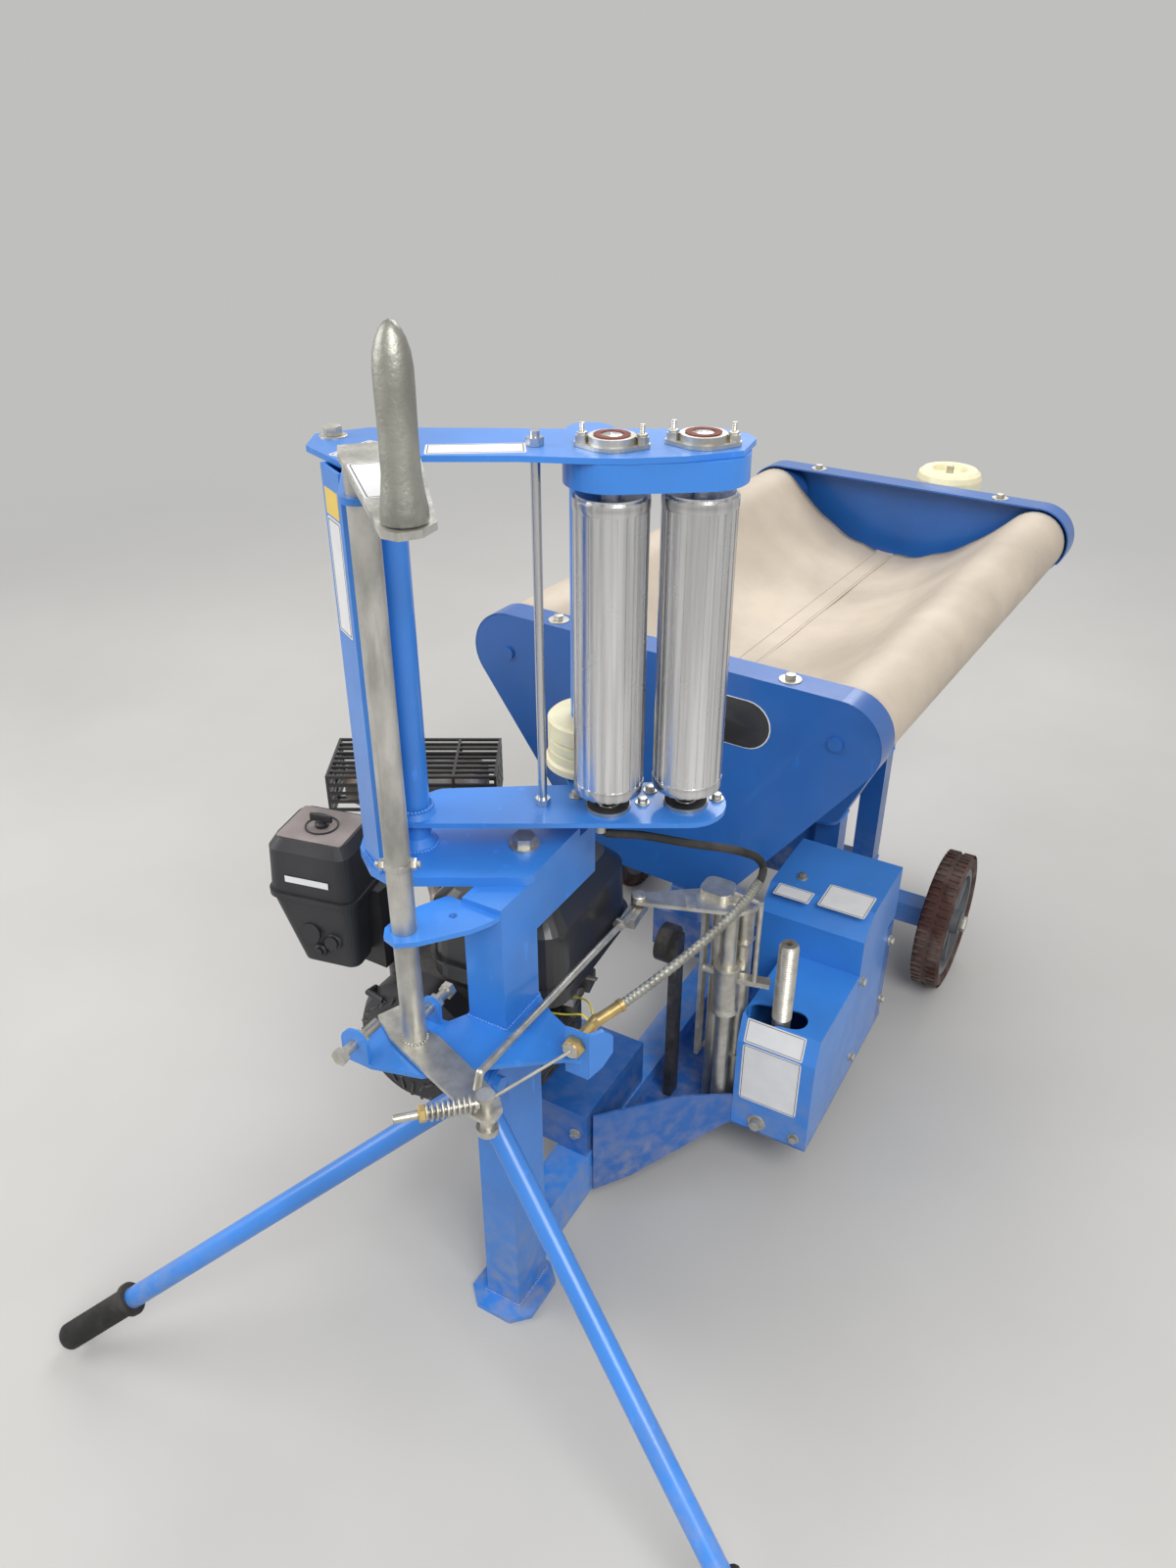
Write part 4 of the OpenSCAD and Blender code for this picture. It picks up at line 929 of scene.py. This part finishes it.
class WRAPPER_OT_film_trim(bpy.types.Operator):
    """End bands of the film rollers, the bearings' seals and the gear housing's seam"""

    bl_idname = "wrapper.film_trim"
    bl_label = "Film roller trim"

    def execute(self, context):
        rollers = [("a", IN_HEAD @ put(*FILM_A)), ("b", IN_HEAD @ put(*FILM_B))]
        cap = [(0, 1134.3), (10, 1134.3), (10, 1135.6), (8.6, 1136.2), (3, 1136.2), (2, 1134.6),
               (0, 1134.6)]
        for name, at in rollers:
            bands = []
            for low, high in ((746.5, 758), (1065, 1076.5)):
                band = [(36, low), (38.7, low), (39.1, low + 1), (39.1, high - 1), (38.7, high), (36, high),
                        (36, low)]
                bands.append((lathe, band, at, 64))
            formed(f"roller_bands_{name}", "bright_steel", *bands, (lathe, cap, at, 24),
                   body=f"film_roller_{name}")
        upper = [(11.5, 1135.2), (17.5, 1135.2), (18, 1136.4), (11.2, 1136.4), (11.5, 1135.2)]
        lower = [(12, 723.9), (23.6, 723.9), (24.2, 725.4), (21, 726), (12.4, 725), (12, 723.9)]
        formed("bearing_seals", "seal", *[(lathe, upper, at, 40) for _, at in rollers])
        formed("lower_seals", "black_rubber", *[(lathe, lower, at, 40) for _, at in rollers])
        x0, y0 = (FILM_A[0] + FILM_B[0]) / 2 - 12, FILM_A[1] - 37.6
        zig = ((0, 1091), (2.2, 1091), (2.2, 1096), (-0.5, 1099), (2.0, 1103), (2.0, 1108), (-0.6, 1111),
               (0.4, 1116.5))
        seam = [IN_HEAD @ mm(x0 + x, y0, z) for x, z in zig]
        formed("housing_seam", "black_enamel", (tube, seam, 0.5, 6))
        return {"FINISHED"}


class WRAPPER_OT_spring(bpy.types.Operator):
    """Return spring on its rod with a brass nut"""

    bl_idname = "wrapper.spring"
    bl_label = "Return spring"

    def execute(self, context):
        sizes = context.scene.wrapper_sizes
        angle = math.radians(-135)
        along = Vector((math.cos(angle), math.sin(angle), 0))
        base = Vector((*TAIL_AT, SPRING_Z))
        at = facing(base, along)
        rod = [(0, 7.8), (5.6, 7.8), (5.6, 12), (3.6, 12.5), (3.6, 60), (4.5, 62), (4.5, 95.2), (3.8, 96),
               (0, 96)]
        collar = [at @ mm(0, 0, 7), at @ mm(0, 0, 9)]
        formed("spring_rod", "zinc", (lathe, rod, at, 24), (tube, collar, 6, 16),
               replaces=["return_spring"])
        coil = grown(bpy.data.meshes.new("none"), tree_of(coil_tree), {
            "Turns": float(sizes.spring_turns), "Height": 50 * MM, "Radius": 8.4 * MM,
            "Wire radius": sizes.spring_wire / 2}, "zinc")
        coil.transform(at @ put(0, 0, 12))
        add_piece("spring_coil", coil, "machine", "zinc", ["return_spring"], smooth=60)
        nut = [facing(base + along * 62, along)]
        copies("spring_nut", hex_bolt(16, 8), nut, "machine", "brass", ["return_spring"])
        return {"FINISHED"}


class WRAPPER_OT_cable(bpy.types.Operator):
    """Spiral metal sheath over the first part of the cable, with its ferrule"""

    bl_idname = "wrapper.cable"
    bl_label = "Cable sheath"

    def execute(self, context):
        path = smooth_path(CABLE, 24)[:-1]
        formed("cable_sheath", "grip_metal", (tube, path, 6.2, 16, Vector(UP), 0.9), smooth=20)
        ferrule = [(5, 3.2), (8.2, 3.2), (8.2, 9), (7.4, 9.6), (7.4, 26), (8, 27), (8, 30), (7.2, 31),
                   (7.2, 44), (5, 45), (5, 3.2)]
        formed("cable_ferrule", "brass", (tube, path[:19], 6.9, 20), (tube, path[17:20], 7.8, 20),
               (lathe, ferrule, facing((117, -24, 521), (0, 1, 0)), 24))
        return {"FINISHED"}


class WRAPPER_OT_clutch(bpy.types.Operator):
    """Threaded stroke screw and the clutch's nuts and collars"""

    bl_idname = "wrapper.clutch"
    bl_label = "Clutch trim"

    def execute(self, context):
        thread = [(14.0 - 1.1 * (k % 2), 296 + 1.5 * k) for k in range(84)]
        screw = [(0, 89.3), (13, 89.3), (13, 294)] + thread + [(11, 424), (4, 424), (3.4, 412), (0, 412)]
        formed("stroke_thread", "zinc", (lathe, screw, put(216, 373)), replaces=["stroke_screw"],
               smooth=25)
        collars = []
        for x, y, r, top in ((*CLUTCH_TUBE, 11, 478), (118, 366, 12, 474), (151.5, 372, 12, 474)):
            profile = [(r - 0.4, top - 14), (r + 2.4, top - 14), (r + 2.8, top - 12), (r + 2.8, top - 6),
                       (r + 2.2, top - 5), (r - 0.4, top - 5), (r - 0.4, top - 14)]
            collars.append((lathe, profile, put(x, y)))
        sleeve = [(17, 296), (19.4, 297), (19.4, 304), (18, 306), (18, 370), (19, 372), (19, 377),
                  (11, 378.5), (11, 296), (17, 296)]
        formed("clutch_collars", "zinc", *collars, (lathe, sleeve, put(*CLUTCH_TUBE)))
        nut = [facing((140, 352, 484.3), UP)]
        copies("clutch_nuts", hex_bolt(17, 7, washer=26), nut, "machine", "zinc")
        pin = [(0, 484.4), (10.5, 484.4), (10.5, 488), (9, 489.5), (0, 489.5)]
        formed("clutch_pin_head", "zinc", (lathe, pin, put(*CLUTCH_PIN), 28),
               (slab, box_path(14, 34), 0, 1.2, put(92, 318, 484.3, 28), 0.3))
        end, start = Vector((28, 276, 472)), Vector((30, 236, 479))
        copies("rod_nut", hex_bolt(15, 8), [facing(start, start - end)], "machine", "zinc")
        return {"FINISHED"}


WIRES = (
    ("wire_yellow", ((-70, 160, 345), (-8, 150, 372), (26, 142, 392), (34, 150, 372), (20, 170, 336),
                     (-70, 178, 318))),
    ("wire_yellow", ((-70, 172, 300), (16, 160, 330), (38, 150, 366), (20, 170, 388), (-18, 186, 372))),
    ("wire_red", ((-90, 116, 330), (-40, 132, 322), (-4, 146, 334), (12, 160, 330), (-70, 178, 310))),
)


class WRAPPER_OT_engine(bpy.types.Operator):
    """Fins, cover slats, caps, carburettor and wires of the engine"""

    bl_idname = "wrapper.engine"
    bl_label = "Engine trim"

    def execute(self, context):
        fin = shaped("fin", (slab, box_path(150, 5), 0, 12, HERE, 1.0))
        fins = [facing((-64.6, 190, 210 + 9 * k), RIGHT) for k in range(12)]
        copies("engine_fins", fin, fins, "machine", "dark_steel")
        slat = shaped("slat", (slab, box_path(20, 4.5), 0, 2.4, HERE, 0.8))
        slats = []
        for r, count, y in ((50, 18, 43.6), (77, 26, 59.2)):
            for a in spread(0, 2 * math.pi, count)[:-1]:
                point = (-192 + r * math.cos(a), y, 296 + r * math.sin(a))
                slats.append(facing(point, FRONT) @ Matrix.Rotation(-a, 4, "Z"))
        copies("starter_slats", slat, slats, "machine", "black_enamel")
        hub = [(0, -4), (30, -4), (30, 2), (26, 5), (12, 6), (11, 4), (0, 4)]
        grip = [mm(*p) for p in ((-262, 78, 362), (-262, 62, 366), (-236, 58, 366), (-236, 74, 362))]
        formed("starter_hub", "black_plastic", (lathe, hub, facing((-192, 39.5, 296), FRONT), 40),
               (tube, grip, 5))
        cap = [(0, 543), (19, 543), (19, 548), (24, 549), (24, 559), (22, 563), (10, 565), (0, 565)]
        formed("fuel_cap", "black_plastic", (lathe, cap, put(-116, 262), 36))
        bowl = [(0, 0), (12, 0), (12, 8), (9, 10), (9, 22), (0, 22)]
        plug = [(0, 0), (9, 0), (9, 14), (6, 16), (0, 16)]
        formed("carburettor", "dark_steel",
               (slab, box_path(34, 40), 0, 34, put(-50, 236, 330, 12), 3),
               (slab, box_path(26, 26), 0, 26, put(-24, 232, 352, 12), 3),
               (slab, box_path(22, 30), 0, 22, put(-42, 200, 356, 12), 3),
               (lathe, bowl, facing((-44, 226, 320), (0.2, 0, -1)), 20),
               (lathe, plug, facing((-30, 214, 360), (1, -0.4, 0)), 20))
        formed("throttle_bracket", "zinc",
               (slab, box_path(60, 6), 0, 3, put(-20, 205, 392, 12), 0.6),
               (slab, box_path(16, 22), 0, 14, put(-18, 186, 362, 12), 2))
        for number, (key, route) in enumerate(WIRES):
            formed(f"{key}_{number}", key, (tube, smooth_path(route, 8), 1.3, 8), smooth=60)
        # A thin pale sheet on the lid: painted reflection, with some dust
        formed("cleaner_lid", "lid_reflection_and_dust", (label_plate, CLEANER @ put(0, 0, 84.6), 92, 76, 1.2))
        wing = [(-15, -2.4), (-4, -3.2), (4, -3.2), (15, -2.4), (16, 0), (15, 2.4), (4, 3.2), (-4, 3.2),
                (-15, 2.4), (-16, 0)]
        formed("cleaner_knob", "black_plastic",
               (lathe, [(20, 85.6), (22, 85.6), (22, 87.4), (20, 87.4), (20, 85.6)], CLEANER, 40),
               (lathe, [(0, 85.6), (9, 85.6), (9, 90), (6, 92), (5, 97), (0, 97)], CLEANER, 24),
               (slab, wing, 93, 103, CLEANER, 1.6))
        low = CLEANER @ put(10, -20)
        formed("cleaner_fittings", "black_plastic",
               *[(lathe, [(0, 0), (r, 0), (r, 5), (r - 3, 7), (r - 3, 12), (0, 12)],
                  low @ facing((x, -d, z), (0, -1, 0.25)), 24)
                 for x, z, r, d in ((-14, -52, 17, 24), (16, -60, 12, 26), (-4, -78, 9, 28))])
        return {"FINISHED"}


class WRAPPER_OT_labels(bpy.types.Operator):
    """Blank labels where the machine carries its labels"""

    bl_idname = "wrapper.labels"
    bl_label = "Blank labels"

    def execute(self, context):
        cover_slope = put(217, 345, 250) @ Matrix.Rotation(math.atan2(40, 12), 4, "X")
        places = [
            (facing((217, 345, 196), FRONT), 88, 104),
            (cover_slope @ put(0, 20, 0.1), 88, 38),
            (put(236, 560, 383), 72, 60),
            (put(160, 540, 383), 56, 30),
            (IN_HEAD @ put(-6, 84, ARM_TOP, 4), 96, 34),
            (IN_HEAD @ put(-110, 78, ARM_TOP, 60), 60, 40),
            (put(18, -148, 1159, -42), 96, 42),
            (COLUMN @ facing((0, 25, 1010), (-1, 0, 0)), 34, 118),
        ]
        formed("label_sheets", "label", *[(label_plate, *row, 0.35) for row in places])
        formed("label_rims", "label_ink", *[(label_rim, *row, 0.5) for row in places])
        band = COLUMN @ facing((0, 25, 1084), (-1, 0, 0))
        formed("label_top_band", "label_band", (label_plate, band, 34, 26, 0.35))
        front = CLEANER @ facing((0, -53, 32), (0, -1, 0.06))
        formed("cleaner_label", "label", (label_plate, front, 62, 9, 0.4))
        return {"FINISHED"}


class WRAPPER_OT_wheels(bpy.types.Operator):
    """Tyres with shallow tread, the hubs' rings and the axle's nuts"""

    bl_idname = "wrapper.wheels"
    bl_label = "Wheels"

    def execute(self, context):
        lug = shaped("lug", (slab, [(-9, -2.2), (9, -3.4), (9, 3.4), (-9, 2.2)], 0, 2.6, HERE, 0.6))
        crown = [(123.0 - 0.05 * abs(z) - (1.6 if abs(z) in (4, 5) else 0), z)
                 for z in (-13, -5, -4, 4, 5, 13)]
        wall = [(100.0, -21), (104, -23), (112, -25), (117, -24), (120.5, -19)]
        profile = wall + crown + [(r, -z) for r, z in reversed(wall)] + wall[:1]
        ring = [(10.4, 27.2), (20, 27.2), (21, 28.5), (18, 30), (12, 30.6), (10.4, 30.6), (10.4, 27.2)]
        across, y, height = WHEEL_AT
        for s, name in ((-1, "left"), (1, "right")):
            body = f"wheel_{name}"
            tyre = [f"tyre_{name}"]
            at = put(s * across, y, height) @ Matrix.Rotation(math.radians(90), 4, "Y")
            formed(f"tyre_body_{name}", "tyre", (lathe, profile, at, 96),
                   body=body, replaces=tyre, smooth=50)
            places = []
            for k in range(56):
                for e in (-1, 1):
                    a = 2 * math.pi * (k + 0.25 * e) / 56
                    out = Vector((math.cos(a), math.sin(a), 0))
                    grid = facing(out * 122.0 + Vector((0, 0, e * 13)), out)
                    rise = grid.inverted().to_3x3() @ Vector(UP)
                    places.append(at @ grid @ Matrix.Rotation(math.atan2(rise.y, rise.x), 4, "Z"))
            copies(f"tyre_lugs_{name}", lug.copy(), places, body, "tyre", tyre)
            faces = (at @ Matrix.Rotation(math.pi, 4, "X"), at)
            rings = [(lathe, ring, face, 40) for face in faces]
            formed(f"hub_rings_{name}", "grey_plastic", *rings, body=body)
            nut = [facing((s * NUT_X, y, height), (s, 0, 0))]
            copies(f"axle_nut_{name}", hex_bolt(24, 9), nut, "machine", "zinc")
        return {"FINISHED"}


class WRAPPER_OT_grips(bpy.types.Operator):
    """Ridged rubber on the two pull handles, the pipe's collar and the hand grip"""

    bl_idname = "wrapper.grips"
    bl_label = "Handle grips"

    def execute(self, context):
        tubes = {"right": ((-10, -53, 436), (500, -275, 20)), "left": ((14, -53, 440), (-452, -367, 20))}
        ridges = [(17.4 if k % 2 else 16.3, 6 + 3.1 * k) for k in range(34)]
        profile = [(0, 0), (12, 0), (15.5, 1), (17.2, 4)] + ridges
        profile += [(17.4, 112), (21.4, 114), (21.5, 118), (20, 120), (0, 120)]
        for name, (start, end) in tubes.items():
            at = facing(end, Vector(start) - Vector(end))
            formed(f"grip_rubber_{name}", "black_rubber", (lathe, profile, at), body="handles",
                   replaces=[f"grip_{name}"], smooth=40)
        collar = [(12.8, 739), (14.6, 739), (15, 740), (15, 745), (14.6, 746), (12.8, 746), (12.8, 739)]
        formed("pipe_collar", "pipe_zinc", (lathe, collar, put(*PIPE_AT)))
        grip = [(0, 0.3), (16.4, 0.3), (17.4, 2), (17.2, 10), (15.2, 22), (13.9, 34), (13.6, 60),
                (13.9, 92), (13.8, 104), (12.6, 114), (10.2, 122), (7.2, 128), (3.8, 132), (0, 133.6)]
        formed("hand_grip", "grip_metal", (lathe, grip, put(99, -224, 1159.3), 48),
               replaces=["control_grip"], smooth=60)
        return {"FINISHED"}


# In the order in which main() calls them
OPERATORS = [WRAPPER_OT_stage, WRAPPER_OT_node_finishes, WRAPPER_OT_belt, WRAPPER_OT_table_trim,
             WRAPPER_OT_fasteners, WRAPPER_OT_welds, WRAPPER_OT_film_trim, WRAPPER_OT_spring,
             WRAPPER_OT_cable, WRAPPER_OT_clutch, WRAPPER_OT_engine, WRAPPER_OT_labels,
             WRAPPER_OT_wheels, WRAPPER_OT_grips]
STEPS = [cls.bl_idname.split(".")[1] for cls in OPERATORS]


class WRAPPER_PT_panel(bpy.types.Panel):
    """Shows a button for each step that dresses the wrapper"""

    bl_idname = "WRAPPER_PT_panel"
    bl_label = "Bale Wrapper"
    bl_space_type = "VIEW_3D"
    bl_region_type = "UI"
    bl_category = "Bale Wrapper"

    def draw(self, context):
        for step in STEPS:
            self.layout.operator(f"wrapper.{step}")


CLASSES = [WrapperColours, WrapperSizes, *OPERATORS, WRAPPER_PT_panel]


def register():
    for cls in CLASSES:
        bpy.utils.register_class(cls)
    bpy.types.Scene.wrapper_colours = bpy.props.PointerProperty(type=WrapperColours)
    bpy.types.Scene.wrapper_sizes = bpy.props.PointerProperty(type=WrapperSizes)


def unregister():
    del bpy.types.Scene.wrapper_sizes
    del bpy.types.Scene.wrapper_colours
    for cls in reversed(CLASSES):
        bpy.utils.unregister_class(cls)


def main():
    register()
    for step in STEPS:
        getattr(bpy.ops.wrapper, step)()


if __name__ == "__main__":
    main()
